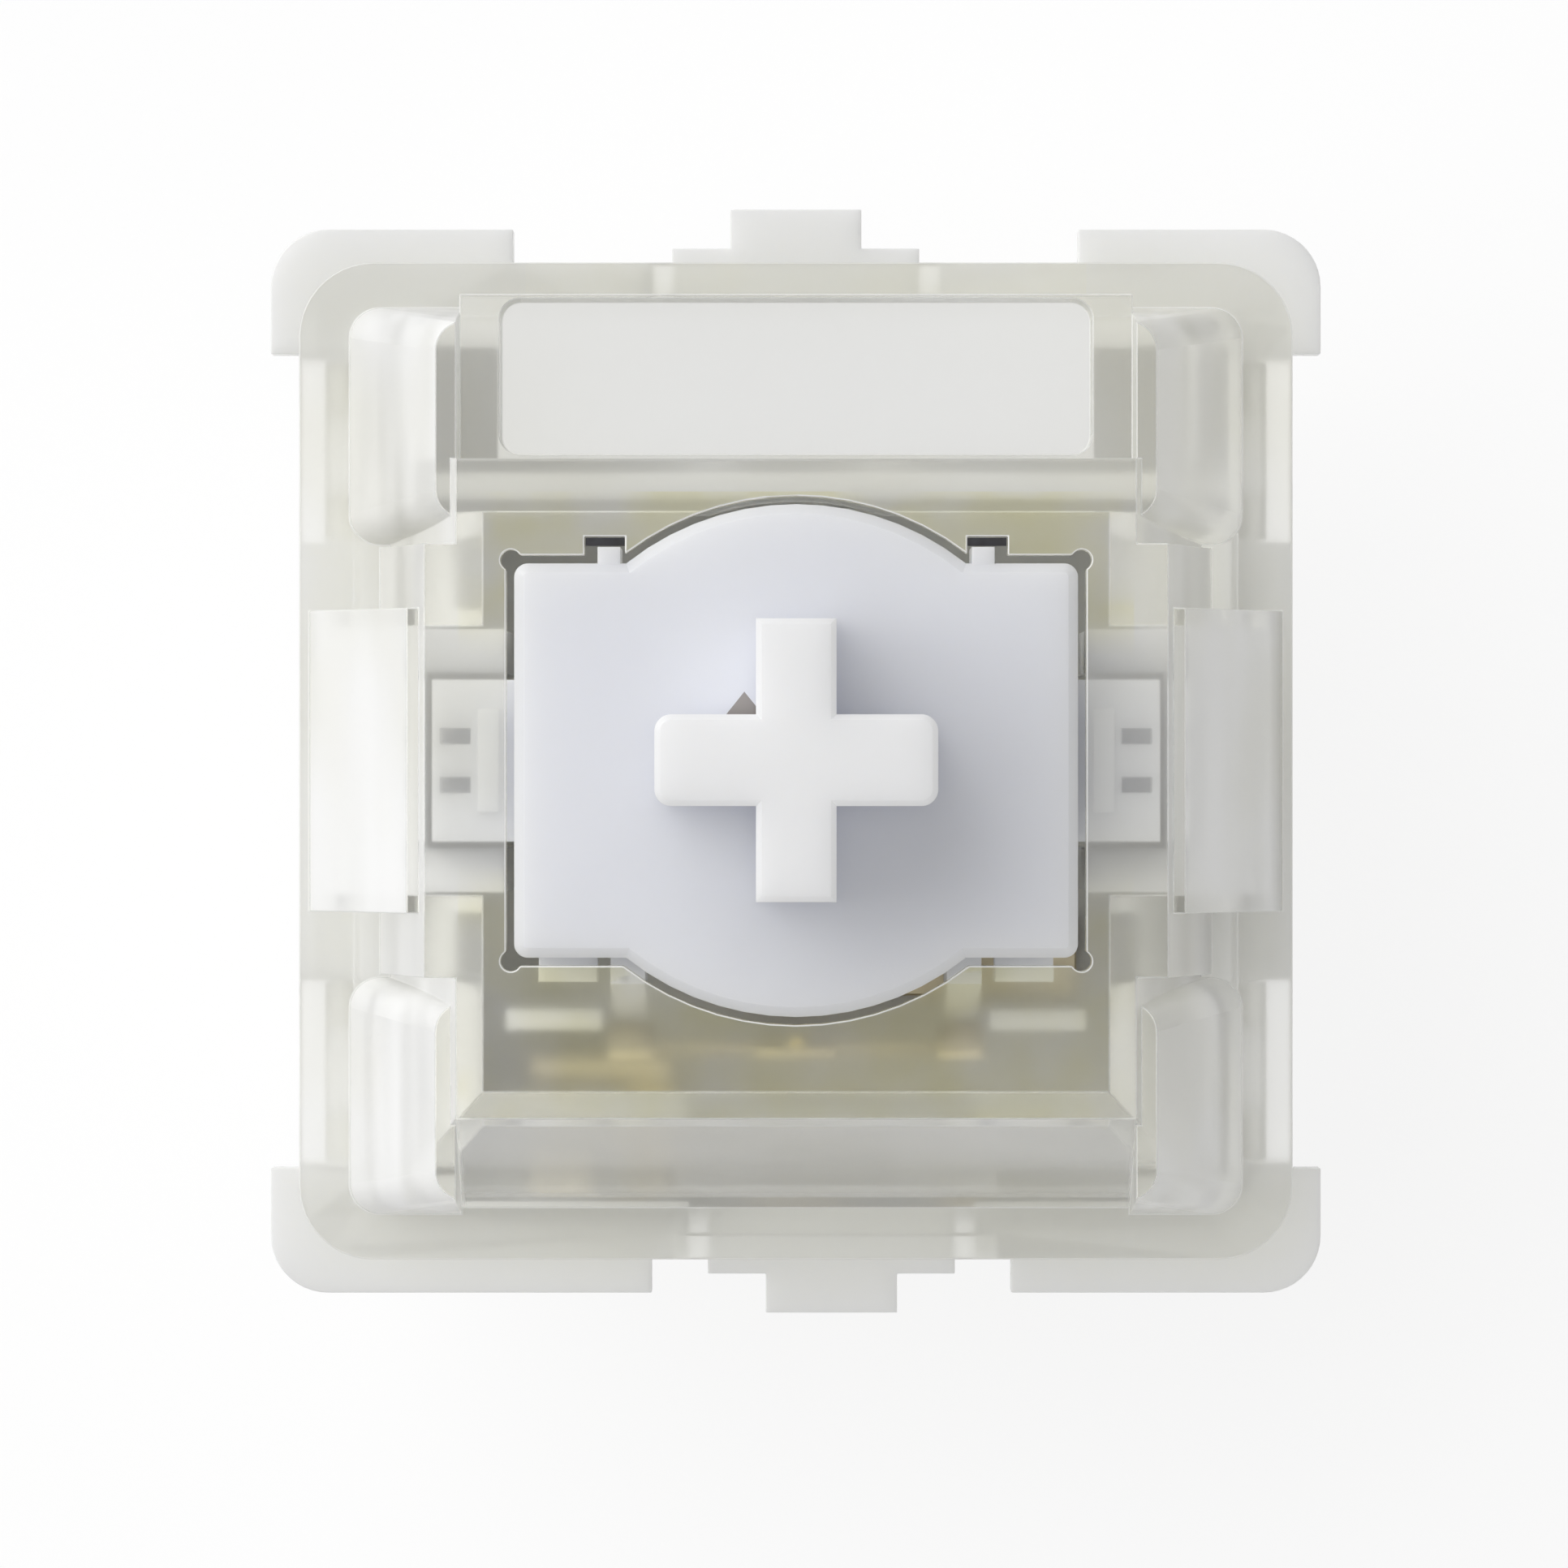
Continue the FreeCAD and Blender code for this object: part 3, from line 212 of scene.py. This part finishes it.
# The mark in the cross's corner, in millimetres, and its colour. Then the cross's colour, a painted light
# that makes the raised cross paler than the stem.
MARK_BOX = ((-1.02, -0.5), (0.6, 1.02), (11.5, 11.6))
MARK_PEAK = (-0.75, 1.0)
MARK_LEAN = 1.25
MARK_COLOUR = (0.36, 0.33, 0.31)
CROSS_LIGHT_COLOUR = (0.92, 0.925, 0.95)

# Widths in millimetres of rounded edges, their steps, and the sharpest angle in degrees that stays as
# it is. Flat faces are joined below a far smaller angle, and points within a hair of each other too.
BASE_EDGE = 0.06
STEM_EDGE = 0.05
COVER_EDGE = 0.07
SHEET_EDGE = 0.03
BAR_EDGE = 0.02
EDGE_STEPS = 2
EDGE_DEG = 35
FLAT_DEG = 0.5
HAIR = 0.001 * MM

# Spring wire: its diameter, turns, the closed turns at each end, how many wires high those rise, points
# a turn, and sides.
SPRING_WIRE = 0.26 * MM
SPRING_TURNS = 9.0
SPRING_CLOSED = 1.0
SPRING_CLOSED_RISE = 1.05
SPRING_STEPS = 28
SPRING_SIDES = 12


def new_material(name):
    """An empty node material with its Principled shader."""
    material = bpy.data.materials.new(name)
    material.use_nodes = True
    nodes, links = material.node_tree.nodes, material.node_tree.links
    return material, nodes, links, nodes["Principled BSDF"]


def noise(nodes, links, scale, detail):
    """Soft noise in the object's own space; its scale is cycles a metre, or one an axis."""
    place = nodes.new("ShaderNodeTexCoord")
    mapping = nodes.new("ShaderNodeMapping")
    each = scale if isinstance(scale, tuple) else (scale, scale, scale)
    mapping.inputs["Scale"].default_value = each
    links.new(place.outputs["Object"], mapping.inputs["Vector"])
    texture = nodes.new("ShaderNodeTexNoise")
    texture.inputs["Scale"].default_value = 1.0
    texture.inputs["Detail"].default_value = detail
    links.new(mapping.outputs["Vector"], texture.inputs["Vector"])
    return texture.outputs["Fac"]


def ramp(nodes, links, factor, *stops):
    """A colour ramp between two (position, colour) stops."""
    item = nodes.new("ShaderNodeValToRGB")
    for stop, (position, colour) in zip(item.color_ramp.elements, stops):
        stop.position = position
        stop.color = (*colour, 1.0)
    links.new(factor, item.inputs["Fac"])
    return item.outputs["Color"]


def spread(nodes, links, factor, low, high, start=0.0, end=1.0):
    """A factor that runs from start to end, spread between two values and held beyond them."""
    item = nodes.new("ShaderNodeMapRange")
    item.inputs["From Min"].default_value = start
    item.inputs["From Max"].default_value = end
    item.inputs["To Min"].default_value = low
    item.inputs["To Max"].default_value = high
    links.new(factor, item.inputs["Value"])
    return item.outputs["Result"]


def combined(nodes, links, operation, first, *others):
    """Sockets or numbers joined one after the other by a math operation."""
    total = first
    for other in others:
        step = nodes.new("ShaderNodeMath")
        step.operation = operation
        for socket, value in zip(step.inputs, (total, other)):
            if isinstance(value, float):
                socket.default_value = value
            else:
                links.new(value, socket)
        total = step.outputs[0]
    return total


def distance(nodes, links, value):
    """A value without its sign."""
    step = nodes.new("ShaderNodeMath")
    step.operation = "ABSOLUTE"
    links.new(value, step.inputs[0])
    return step.outputs[0]


def mixed(nodes, links, factor, at_zero, at_one):
    """A colour that goes from one input to another, or to a fixed one, as a factor goes from 0 to 1."""
    mix = nodes.new("ShaderNodeMix")
    mix.data_type = "RGBA"
    links.new(factor, mix.inputs[0])
    links.new(at_zero, mix.inputs[6])
    if isinstance(at_one, tuple):
        mix.inputs[7].default_value = (*at_one, 1)
    else:
        links.new(at_one, mix.inputs[7])
    return mix.outputs[2]


def between(nodes, links, factor, at_zero, at_one):
    """A value that goes from one input to another, or to a number, as a factor goes from 0 to 1."""
    mix = nodes.new("ShaderNodeMix")
    links.new(factor, mix.inputs[0])
    links.new(at_zero, mix.inputs[2])
    if isinstance(at_one, float):
        mix.inputs[3].default_value = at_one
    else:
        links.new(at_one, mix.inputs[3])
    return mix.outputs[0]


def bump(nodes, links, height, strength, depth):
    """A fine relief of a strength, and a depth in metres."""
    item = nodes.new("ShaderNodeBump")
    item.inputs["Strength"].default_value = strength
    item.inputs["Distance"].default_value = depth
    links.new(height, item.inputs["Height"])
    return item.outputs["Normal"]


def places(nodes, links):
    """The x, y and z of a point in millimetres in the object's frame."""
    place = nodes.new("ShaderNodeTexCoord")
    split = nodes.new("ShaderNodeSeparateXYZ")
    links.new(place.outputs["Object"], split.inputs[0])
    return [combined(nodes, links, "MULTIPLY", axis, 1.0 / MM) for axis in split.outputs]


def inside_box(nodes, links, point, spans):
    """1 inside a box given in millimetres in the object's frame, and 0 outside it."""
    tests = []
    for axis, (low, high) in zip(point, spans):
        near = nodes.new("ShaderNodeMath")
        near.operation = "COMPARE"
        near.inputs[1].default_value = (low + high) / 2
        near.inputs[2].default_value = (high - low) / 2
        links.new(axis, near.inputs[0])
        tests.append(near.outputs[0])
    return combined(nodes, links, "MULTIPLY", *tests)


def flatness(nodes, links):
    """0 on upright faces, 1 on flat ones and between them on the slanted strips of rounded edges."""
    shape = nodes.new("ShaderNodeNewGeometry")
    split = nodes.new("ShaderNodeSeparateXYZ")
    links.new(shape.outputs["True Normal"], split.inputs[0])
    return combined(nodes, links, "MULTIPLY", split.outputs["Z"], split.outputs["Z"])


def milky_plastic(name, pale, deep, scatter, rough):
    """Milky moulded plastic: light sinks in, with faint flow clouds and a fine spark-eroded grain."""
    material, nodes, links, shader = new_material(name)
    clouds = noise(nodes, links, *MILKY_CLOUDS)
    stops = zip(MILKY_LEVELS, (deep, pale))
    links.new(ramp(nodes, links, clouds, *stops), shader.inputs["Base Color"])
    grain = noise(nodes, links, *MILKY_GRAIN)
    smoothest, roughest = [rough + more for more in MILKY_ROUGH_SPREAD]
    links.new(spread(nodes, links, grain, smoothest, roughest), shader.inputs["Roughness"])
    links.new(bump(nodes, links, grain, *MILKY_RELIEF), shader.inputs["Normal"])
    shader.inputs["Subsurface Weight"].default_value = MILKY_SCATTER_SHARE
    shader.inputs["Subsurface Radius"].default_value = MILKY_SCATTER_COLOUR
    shader.inputs["Subsurface Scale"].default_value = scatter
    shader.inputs["IOR"].default_value = PLASTIC_IOR
    return material


def metal(name, pale, dull, rough):
    """Thin plated metal with drawn streaks and faint tarnish."""
    material, nodes, links, shader = new_material(name)
    shader.inputs["Metallic"].default_value = 1.0
    tarnish = noise(nodes, links, *METAL_TARNISH)
    stops = zip(METAL_LEVELS, (dull, pale))
    links.new(ramp(nodes, links, tarnish, *stops), shader.inputs["Base Color"])
    streak = noise(nodes, links, *METAL_STREAKS)
    smoothest, roughest = [rough + more for more in METAL_ROUGH_SPREAD]
    links.new(spread(nodes, links, streak, smoothest, roughest), shader.inputs["Roughness"])
    links.new(bump(nodes, links, streak, *METAL_RELIEF), shader.inputs["Normal"])
    return material


# A near-black matte finish with a faint mottle, used for the two notch strips.
def near_black_matte(name):
    """Near-black matte strip with a faint mottle."""
    material, nodes, links, shader = new_material(name)
    mottle = noise(nodes, links, *STRIP_MOTTLE)
    links.new(ramp(nodes, links, mottle, *STRIP_STOPS), shader.inputs["Base Color"])
    links.new(spread(nodes, links, mottle, *STRIP_ROUGH), shader.inputs["Roughness"])
    return material


def outer_walls(nodes, links, point, steep):
    """1 on the cover's outside walls above the rim: the ribs, the bulges and the south and north faces."""
    across, along, up = point
    below_roof = combined(nodes, links, "SUBTRACT", ROOF_UNDER, up)
    side_line = combined(nodes, links, "MULTIPLY", below_roof, SIDE_WALL[1])
    south_line = combined(nodes, links, "MULTIPLY", below_roof, SOUTH_WALL[1])
    off_middle = distance(nodes, links, across)
    past_side = combined(nodes, links, "SUBTRACT", off_middle, side_line, SIDE_WALL[0])
    past_south = combined(nodes, links, "SUBTRACT", 0.0, along, south_line, SOUTH_WALL[0])
    past_north = combined(nodes, links, "SUBTRACT", along, NORTH_WALL)
    past = combined(nodes, links, "MAXIMUM", past_side, past_south, past_north)
    outside = combined(nodes, links, "GREATER_THAN", past, 0.0)
    above_rim = combined(nodes, links, "GREATER_THAN", up, WALLS_ABOVE)
    return combined(nodes, links, "MULTIPLY", steep, outside, above_rim)


def cover_parts(nodes, links, point):
    """Factors from 0 to 1 that pick out the cover's parts by a point's place and its face's slant."""
    across, along, up = point
    flat = flatness(nodes, links)
    steep = spread(nodes, links, flat, 1.0, 0.0, *STEEP_TO_FLAT)
    not_upright = spread(nodes, links, flat, 0.0, 1.0, *EDGE_FROM)
    not_flat = spread(nodes, links, flat, 1.0, 0.0, *EDGE_TO)
    opening = inside_box(nodes, links, point, OPENING_BOX)
    southern = spread(nodes, links, along, 1.0, 0.0, *SLOPE_FADE_Y)
    between_ribs = spread(nodes, links, distance(nodes, links, across), 1.0, 0.0, *SLOPE_FADE_X)
    return {
        "walls": outer_walls(nodes, links, point, steep),
        "slope": combined(nodes, links, "MULTIPLY", southern, between_ribs),
        "rim": spread(nodes, links, up, 1.0, 0.0, *RIM_FADE_Z),
        "pane": inside_box(nodes, links, point, PANE_BOX),
        "opening": opening,
        "cut": combined(nodes, links, "MULTIPLY", opening, steep),
        "edges": combined(nodes, links, "MULTIPLY", not_upright, not_flat),
    }


def olive_tint_and_shade(nodes, links, point, mottle):
    """How olive the cover looks: the roof off its middle, with uneven borders, partly the plastic's own
    tint and partly painted shade over the deep inside, and painted shade over the rim's gap.
    """
    across, along, _ = point
    wander = spread(nodes, links, mottle, -WANDER, WANDER, *WANDER_LEVELS)
    away = spread(nodes, links, distance(nodes, links, along), 0.0, 1.0, *OLIVE_FROM_Y)
    sideways = combined(nodes, links, "ADD", distance(nodes, links, across), wander)
    northward = combined(nodes, links, "ADD", along, wander)
    side_fade = spread(nodes, links, sideways, 1.0, 0.0, *ROOF_FADE_X)
    north_fade = spread(nodes, links, northward, 1.0, 0.0, *ROOF_FADE_Y)
    roof = inside_box(nodes, links, point, ROOF_BOX)
    roof_share = combined(nodes, links, "MULTIPLY", roof, away, side_fade, north_fade)
    over_gap = inside_box(nodes, links, point, NORTH_RIM_BOX)
    gap_shade = combined(nodes, links, "MULTIPLY", over_gap, GAP_SHADE_SHARE)
    return combined(nodes, links, "MAXIMUM", roof_share, gap_shade)


def cover_colour(nodes, links, point, parts):
    """Cloudy clear plastic with an olive tint that is partly its own and partly painted shade, painted
    shade at the rim's ends and on the opening's walls, and a painted highlight on rounded edges.
    """
    _, along, _ = point
    clouds = noise(nodes, links, *COVER_CLOUDS)
    clear = ramp(nodes, links, clouds, *CLEAR_STOPS)
    mottle = noise(nodes, links, *COVER_MOTTLE)
    olive = ramp(nodes, links, mottle, *OLIVE_STOPS)
    # Olive tint: partly the plastic's own, partly painted shade over the deep inside and the rim's gap.
    colour = mixed(nodes, links, olive_tint_and_shade(nodes, links, point, mottle), clear, olive)
    # Painted shade at the rim's ends.
    rim_end_shade = spread(nodes, links, distance(nodes, links, along), 0.0, RIM_END_SHADE_SHARE, *RIM_END_Y)
    rim_end_shade = combined(nodes, links, "MULTIPLY", rim_end_shade, parts["rim"])
    colour = mixed(nodes, links, rim_end_shade, colour, RIM_END_SHADE_COLOUR)
    colour = mixed(nodes, links, parts["pane"], colour, PANE_COLOUR)
    # Painted shade on the opening's walls.
    colour = mixed(nodes, links, parts["cut"], colour, CUT_SHADE_COLOUR)
    # Painted highlight on rounded edges.
    return mixed(nodes, links, parts["edges"], colour, EDGE_HIGHLIGHT_COLOUR)


def cover_roughness(nodes, links, parts, ripple):
    """Polished roof, hazy rim, frosted outer walls and pane, and a smoother slope to the south."""
    rough = spread(nodes, links, ripple, *ROOF_ROUGH)
    rough = between(nodes, links, parts["rim"], rough, RIM_ROUGH)
    haze = spread(nodes, links, parts["slope"], WALL_ROUGH, SLOPE_ROUGH)
    rough = between(nodes, links, parts["walls"], rough, haze)
    return between(nodes, links, parts["pane"], rough, PANE_ROUGH)


def cover_clearness(nodes, links, point, parts):
    """How much light each part of the cover lets through, streaky on the outer walls."""
    across, along, _ = point
    streaks = noise(nodes, links, *COVER_STREAKS)
    # Painted shade: the outer walls turn clearer, and so greyer, from west to east.
    eastward_shade = spread(nodes, links, across, *WALL_SHADE_CLEAR, *WALL_SHADE_SPAN_X)
    streaky = spread(nodes, links, streaks, *STREAK_CLEAR, *STREAK_LEVELS)
    frosted = combined(nodes, links, "ADD", eastward_shade, streaky)
    frosted = between(nodes, links, parts["slope"], frosted, SLOPE_CLEAR)
    clear = spread(nodes, links, along, *ROOF_CLEAR, *ROOF_CLEAR_Y)
    clear = between(nodes, links, parts["rim"], clear, RIM_CLEAR)
    clear = between(nodes, links, parts["walls"], clear, frosted)
    clear = between(nodes, links, parts["cut"], clear, CUT_CLEAR)
    # Painted highlight: rounded edges grow whiter and less clear, less so away from the opening.
    edge_highlight = spread(nodes, links, parts["opening"], *EDGE_HIGHLIGHT_REACH)
    edge_highlight = combined(nodes, links, "MULTIPLY", parts["edges"], edge_highlight)
    clear = between(nodes, links, edge_highlight, clear, EDGE_HIGHLIGHT_CLEAR)
    return between(nodes, links, parts["pane"], clear, PANE_CLEAR)


def let_lamps_through(nodes, links, shader):
    """Light on its way to what lies behind the clear plastic passes straight through it."""
    path = nodes.new("ShaderNodeLightPath")
    lamp, bounce = path.outputs["Is Shadow Ray"], path.outputs["Is Diffuse Ray"]
    passing = nodes.new("ShaderNodeBsdfTransparent")
    passing.inputs["Color"].default_value = (*LAMP_TINT, 1)
    mix = nodes.new("ShaderNodeMixShader")
    links.new(combined(nodes, links, "MAXIMUM", lamp, bounce), mix.inputs["Fac"])
    links.new(shader.outputs[0], mix.inputs[1])
    links.new(passing.outputs[0], mix.inputs[2])
    links.new(mix.outputs[0], nodes["Material Output"].inputs["Surface"])


def clear_plastic(name):
    """Clear moulded polycarbonate, cloudy and faintly rippled, with a slight tint in its depth."""
    material, nodes, links, shader = new_material(name)
    shader.inputs["IOR"].default_value = PLASTIC_IOR
    point = places(nodes, links)
    parts = cover_parts(nodes, links, point)
    ripple = noise(nodes, links, *COVER_RIPPLE)
    links.new(cover_colour(nodes, links, point, parts), shader.inputs["Base Color"])
    links.new(cover_roughness(nodes, links, parts, ripple), shader.inputs["Roughness"])
    links.new(cover_clearness(nodes, links, point, parts), shader.inputs["Transmission Weight"])
    links.new(bump(nodes, links, ripple, *COVER_RELIEF), shader.inputs["Normal"])
    let_lamps_through(nodes, links, shader)
    inside = nodes.new("ShaderNodeVolumeAbsorption")
    inside.inputs["Color"].default_value = (*DEPTH_TINT, 1)
    inside.inputs["Density"].default_value = DEPTH_DENSITY
    links.new(inside.outputs[0], nodes["Material Output"].inputs["Volume"])
    return material


def add_corner_mark_and_cross_light(material):
    """The small grey-brown triangle beside the cross, and painted light that makes the cross paler above
    the platform.
    """
    nodes, links = material.node_tree.nodes, material.node_tree.links
    base_colour = nodes["Principled BSDF"].inputs["Base Color"]
    colour = base_colour.links[0].from_socket
    point = places(nodes, links)
    across, along, up = point
    off_peak = distance(nodes, links, combined(nodes, links, "SUBTRACT", across, MARK_PEAK[0]))
    drop = combined(nodes, links, "MULTIPLY", off_peak, MARK_LEAN)
    ceiling = combined(nodes, links, "SUBTRACT", MARK_PEAK[1], drop)
    under = combined(nodes, links, "LESS_THAN", along, ceiling)
    mark = combined(nodes, links, "MULTIPLY", under, inside_box(nodes, links, point, MARK_BOX))
    # Painted light: the cross turns paler as it rises above the platform.
    cross_light = spread(nodes, links, up, 0.0, 1.0, *CROSS_LIGHT_FADE_Z)
    colour = mixed(nodes, links, cross_light, colour, CROSS_LIGHT_COLOUR)
    links.new(mixed(nodes, links, mark, colour, MARK_COLOUR), base_colour)


def dress(node, material, edge):
    """Give a node its material, and round its sharp edges by a width in millimetres."""
    piece = NODES[node]
    piece.data.materials.clear()
    piece.data.materials.append(material)
    weld = piece.modifiers.new("weld", "WELD")
    weld.merge_threshold = HAIR
    flat = piece.modifiers.new("flat_faces", "DECIMATE")
    flat.decimate_type = "DISSOLVE"
    flat.angle_limit = math.radians(FLAT_DEG)
    soft = piece.modifiers.new("soft_edges", "BEVEL")
    soft.width = edge * MM
    soft.segments = EDGE_STEPS
    soft.limit_method = "ANGLE"
    soft.angle_limit = math.radians(EDGE_DEG)


def add_piece(name, mesh, material):
    """A new object of a finished mesh in a material."""
    data = bpy.data.meshes.new(name)
    mesh.to_mesh(data)
    mesh.free()
    data.materials.append(material)
    piece = bpy.data.objects.new(name, data)
    bpy.context.scene.collection.objects.link(piece)
    return piece


def make_notch_strip(label, side, material):
    """Thin dark strip behind a stem key, in the cover's notch."""
    x_span = sorted(side * x for x in NOTCH_X)
    spans = (x_span, NOTCH_Y, NOTCH_Z)
    size = Vector([(high - low) * MM for low, high in spans])
    middle = Vector([(low + high) / 2 * MM for low, high in spans])
    mesh = bmesh.new()
    bmesh.ops.create_cube(mesh, size=1.0)
    bmesh.ops.scale(mesh, vec=size, verts=mesh.verts)
    bmesh.ops.translate(mesh, vec=middle, verts=mesh.verts)
    strip = add_piece(f"notch_strip_{label}", mesh, material)
    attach(strip, "housing")


def wire_height(turn, rise):
    """How high the wire's middle has climbed after so many turns, of a full rise."""
    end_rise = SPRING_WIRE * SPRING_CLOSED_RISE
    turns_left = SPRING_TURNS - turn
    if turn < SPRING_CLOSED:
        return end_rise * turn / SPRING_CLOSED
    if turns_left < SPRING_CLOSED:
        return rise - end_rise * turns_left / SPRING_CLOSED
    open_turns = SPRING_TURNS - 2 * SPRING_CLOSED
    return end_rise + (rise - 2 * end_rise) * (turn - SPRING_CLOSED) / open_turns


def wire_path(low, high):
    """Points along the middle of a wire wound within a box."""
    wire = SPRING_WIRE / 2
    coil = high.x - wire
    rise = (high.z - low.z) - 2 * wire
    steps = int(SPRING_TURNS * SPRING_STEPS)
    points = []
    for k in range(steps + 1):
        turn = SPRING_TURNS * k / steps
        angle = math.tau * turn
        height = low.z + wire + wire_height(turn, rise)
        points.append(Vector((coil * math.cos(angle), coil * math.sin(angle), height)))
    return points


def wire_ring(mesh, point, ahead):
    """A ring of new vertices round a point of the wire, square to its way ahead."""
    out = Vector((point.x, point.y, 0)).normalized()
    up = ahead.cross(out).normalized()
    ring = []
    for j in range(SPRING_SIDES):
        around = math.tau * j / SPRING_SIDES
        spoke = out * math.cos(around) + up * math.sin(around)
        ring.append(mesh.verts.new(point + SPRING_WIRE / 2 * spoke))
    return ring


def make_spring(material):
    """Round wire wound with a closed turn at each end."""
    low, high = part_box("return_spring")
    points = wire_path(low, high)
    last = len(points) - 1
    mesh = bmesh.new()
    rings = []
    for k, point in enumerate(points):
        ahead = (points[min(k + 1, last)] - points[max(k - 1, 0)]).normalized()
        rings.append(wire_ring(mesh, point, ahead))
    for here, there in zip(rings, rings[1:]):
        for j in range(SPRING_SIDES):
            i = (j + 1) % SPRING_SIDES
            mesh.faces.new((here[j], here[i], there[i], there[j]))
    mesh.faces.new(rings[0])
    mesh.faces.new(list(reversed(rings[-1])))
    bmesh.ops.recalc_face_normals(mesh, faces=mesh.faces)
    spring = add_piece("coil_spring", mesh, material)
    for face in spring.data.polygons:
        face.use_smooth = True
    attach(spring, "housing")
    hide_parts("return_spring")
    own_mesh(spring)


def seen_directly(nodes, links):
    """1 for what the camera sees, straight on or in metal and clear plastic, and 0 for light."""
    path = nodes.new("ShaderNodeLightPath")
    rays = [path.outputs[f"Is {kind} Ray"] for kind in ("Camera", "Glossy", "Transmission")]
    return combined(nodes, links, "MAXIMUM", *rays)


def make_floor():
    """White floor just under the pins that keeps the shadow, and looks brighter than it lights."""
    bpy.ops.mesh.primitive_plane_add(size=FLOOR_SIDE, location=(0, 0, CAD_LOW.z - FLOOR_GAP))
    floor = bpy.context.object
    floor.name = "studio_floor"
    material, nodes, links, shader = new_material("studio_white")
    nodes.remove(shader)
    paper = nodes.new("ShaderNodeBsdfDiffuse")
    paper.inputs["Color"].default_value = (FLOOR_PAPER, FLOOR_PAPER, FLOOR_PAPER, 1)
    glow = nodes.new("ShaderNodeEmission")
    level = spread(nodes, links, seen_directly(nodes, links), FLOOR_BOUNCE, FLOOR_GLOW)
    links.new(level, glow.inputs["Strength"])
    both = nodes.new("ShaderNodeAddShader")
    links.new(paper.outputs[0], both.inputs[0])
    links.new(glow.outputs[0], both.inputs[1])
    links.new(both.outputs[0], nodes["Material Output"].inputs["Surface"])
    floor.data.materials.append(material)


def make_world():
    """A plain room that looks white and lights the object from all round."""
    world = bpy.data.worlds.new("studio_room")
    world.use_nodes = True
    nodes, links = world.node_tree.nodes, world.node_tree.links
    sky = nodes["Background"]
    sky.inputs["Color"].default_value = (1, 1, 1, 1)
    level = spread(nodes, links, seen_directly(nodes, links), WORLD_LEVEL, WORLD_SEEN)
    links.new(level, sky.inputs["Strength"])
    bpy.context.scene.world = world


def add_lamp(name, place, size, power):
    """A square soft box aimed at the switch."""
    lamp = bpy.data.lights.new(name, "AREA")
    lamp.shape = "SQUARE"
    lamp.size = size
    lamp.energy = power
    item = bpy.data.objects.new(name, lamp)
    item.location = place
    item.rotation_mode = "QUATERNION"
    item.rotation_quaternion = (-Vector(place)).to_track_quat("-Z", "Y")
    bpy.context.scene.collection.objects.link(item)


def make_camera():
    """The photograph's view from straight above."""
    lens = bpy.data.cameras.new("camera")
    lens.sensor_width = SENSOR_WIDE
    lens.lens = FOCAL_PX * SENSOR_WIDE / PHOTO_PX
    lens.clip_start, lens.clip_end = CAMERA_REACH
    camera = bpy.data.objects.new("camera", lens)
    camera.location = CAMERA_AT
    bpy.context.scene.collection.objects.link(camera)
    bpy.context.scene.camera = camera


bpy.context.scene.view_settings.view_transform = "Standard"
make_camera()
make_floor()
make_world()
add_lamp("key_softbox", KEY_AT, KEY_SIZE, KEY_LEVEL)
add_lamp("fill_softbox", FILL_AT, FILL_SIZE, FILL_LEVEL)

base_plastic = milky_plastic("milky_base", *MILKY_BASE)
stem_plastic = milky_plastic("milky_stem", *MILKY_STEM)
add_corner_mark_and_cross_light(stem_plastic)
dress("bottom_housing", base_plastic, BASE_EDGE)
dress("stem", stem_plastic, STEM_EDGE)
dress("top_housing", clear_plastic("clear_cover"), COVER_EDGE)
make_spring(metal("spring_wire", *SPRING_STEEL))
contact_sheet = metal("contact_sheet", *CONTACT_SHEET)
for node in ("fixed_contact_terminal", "moving_contact_terminal", "moving_contact_leaf"):
    dress(node, contact_sheet, SHEET_EDGE)
contact_bar = metal("contact_bar", *CONTACT_BAR)
for node in ("fixed_crosspoint", "moving_crosspoint"):
    dress(node, contact_bar, BAR_EDGE)

# Near-black strips in the two notches north of the stem.
notch_strip_matte = near_black_matte("dark_strip")
for label, side in (("west", -1), ("east", 1)):
    make_notch_strip(label, side, notch_strip_matte)
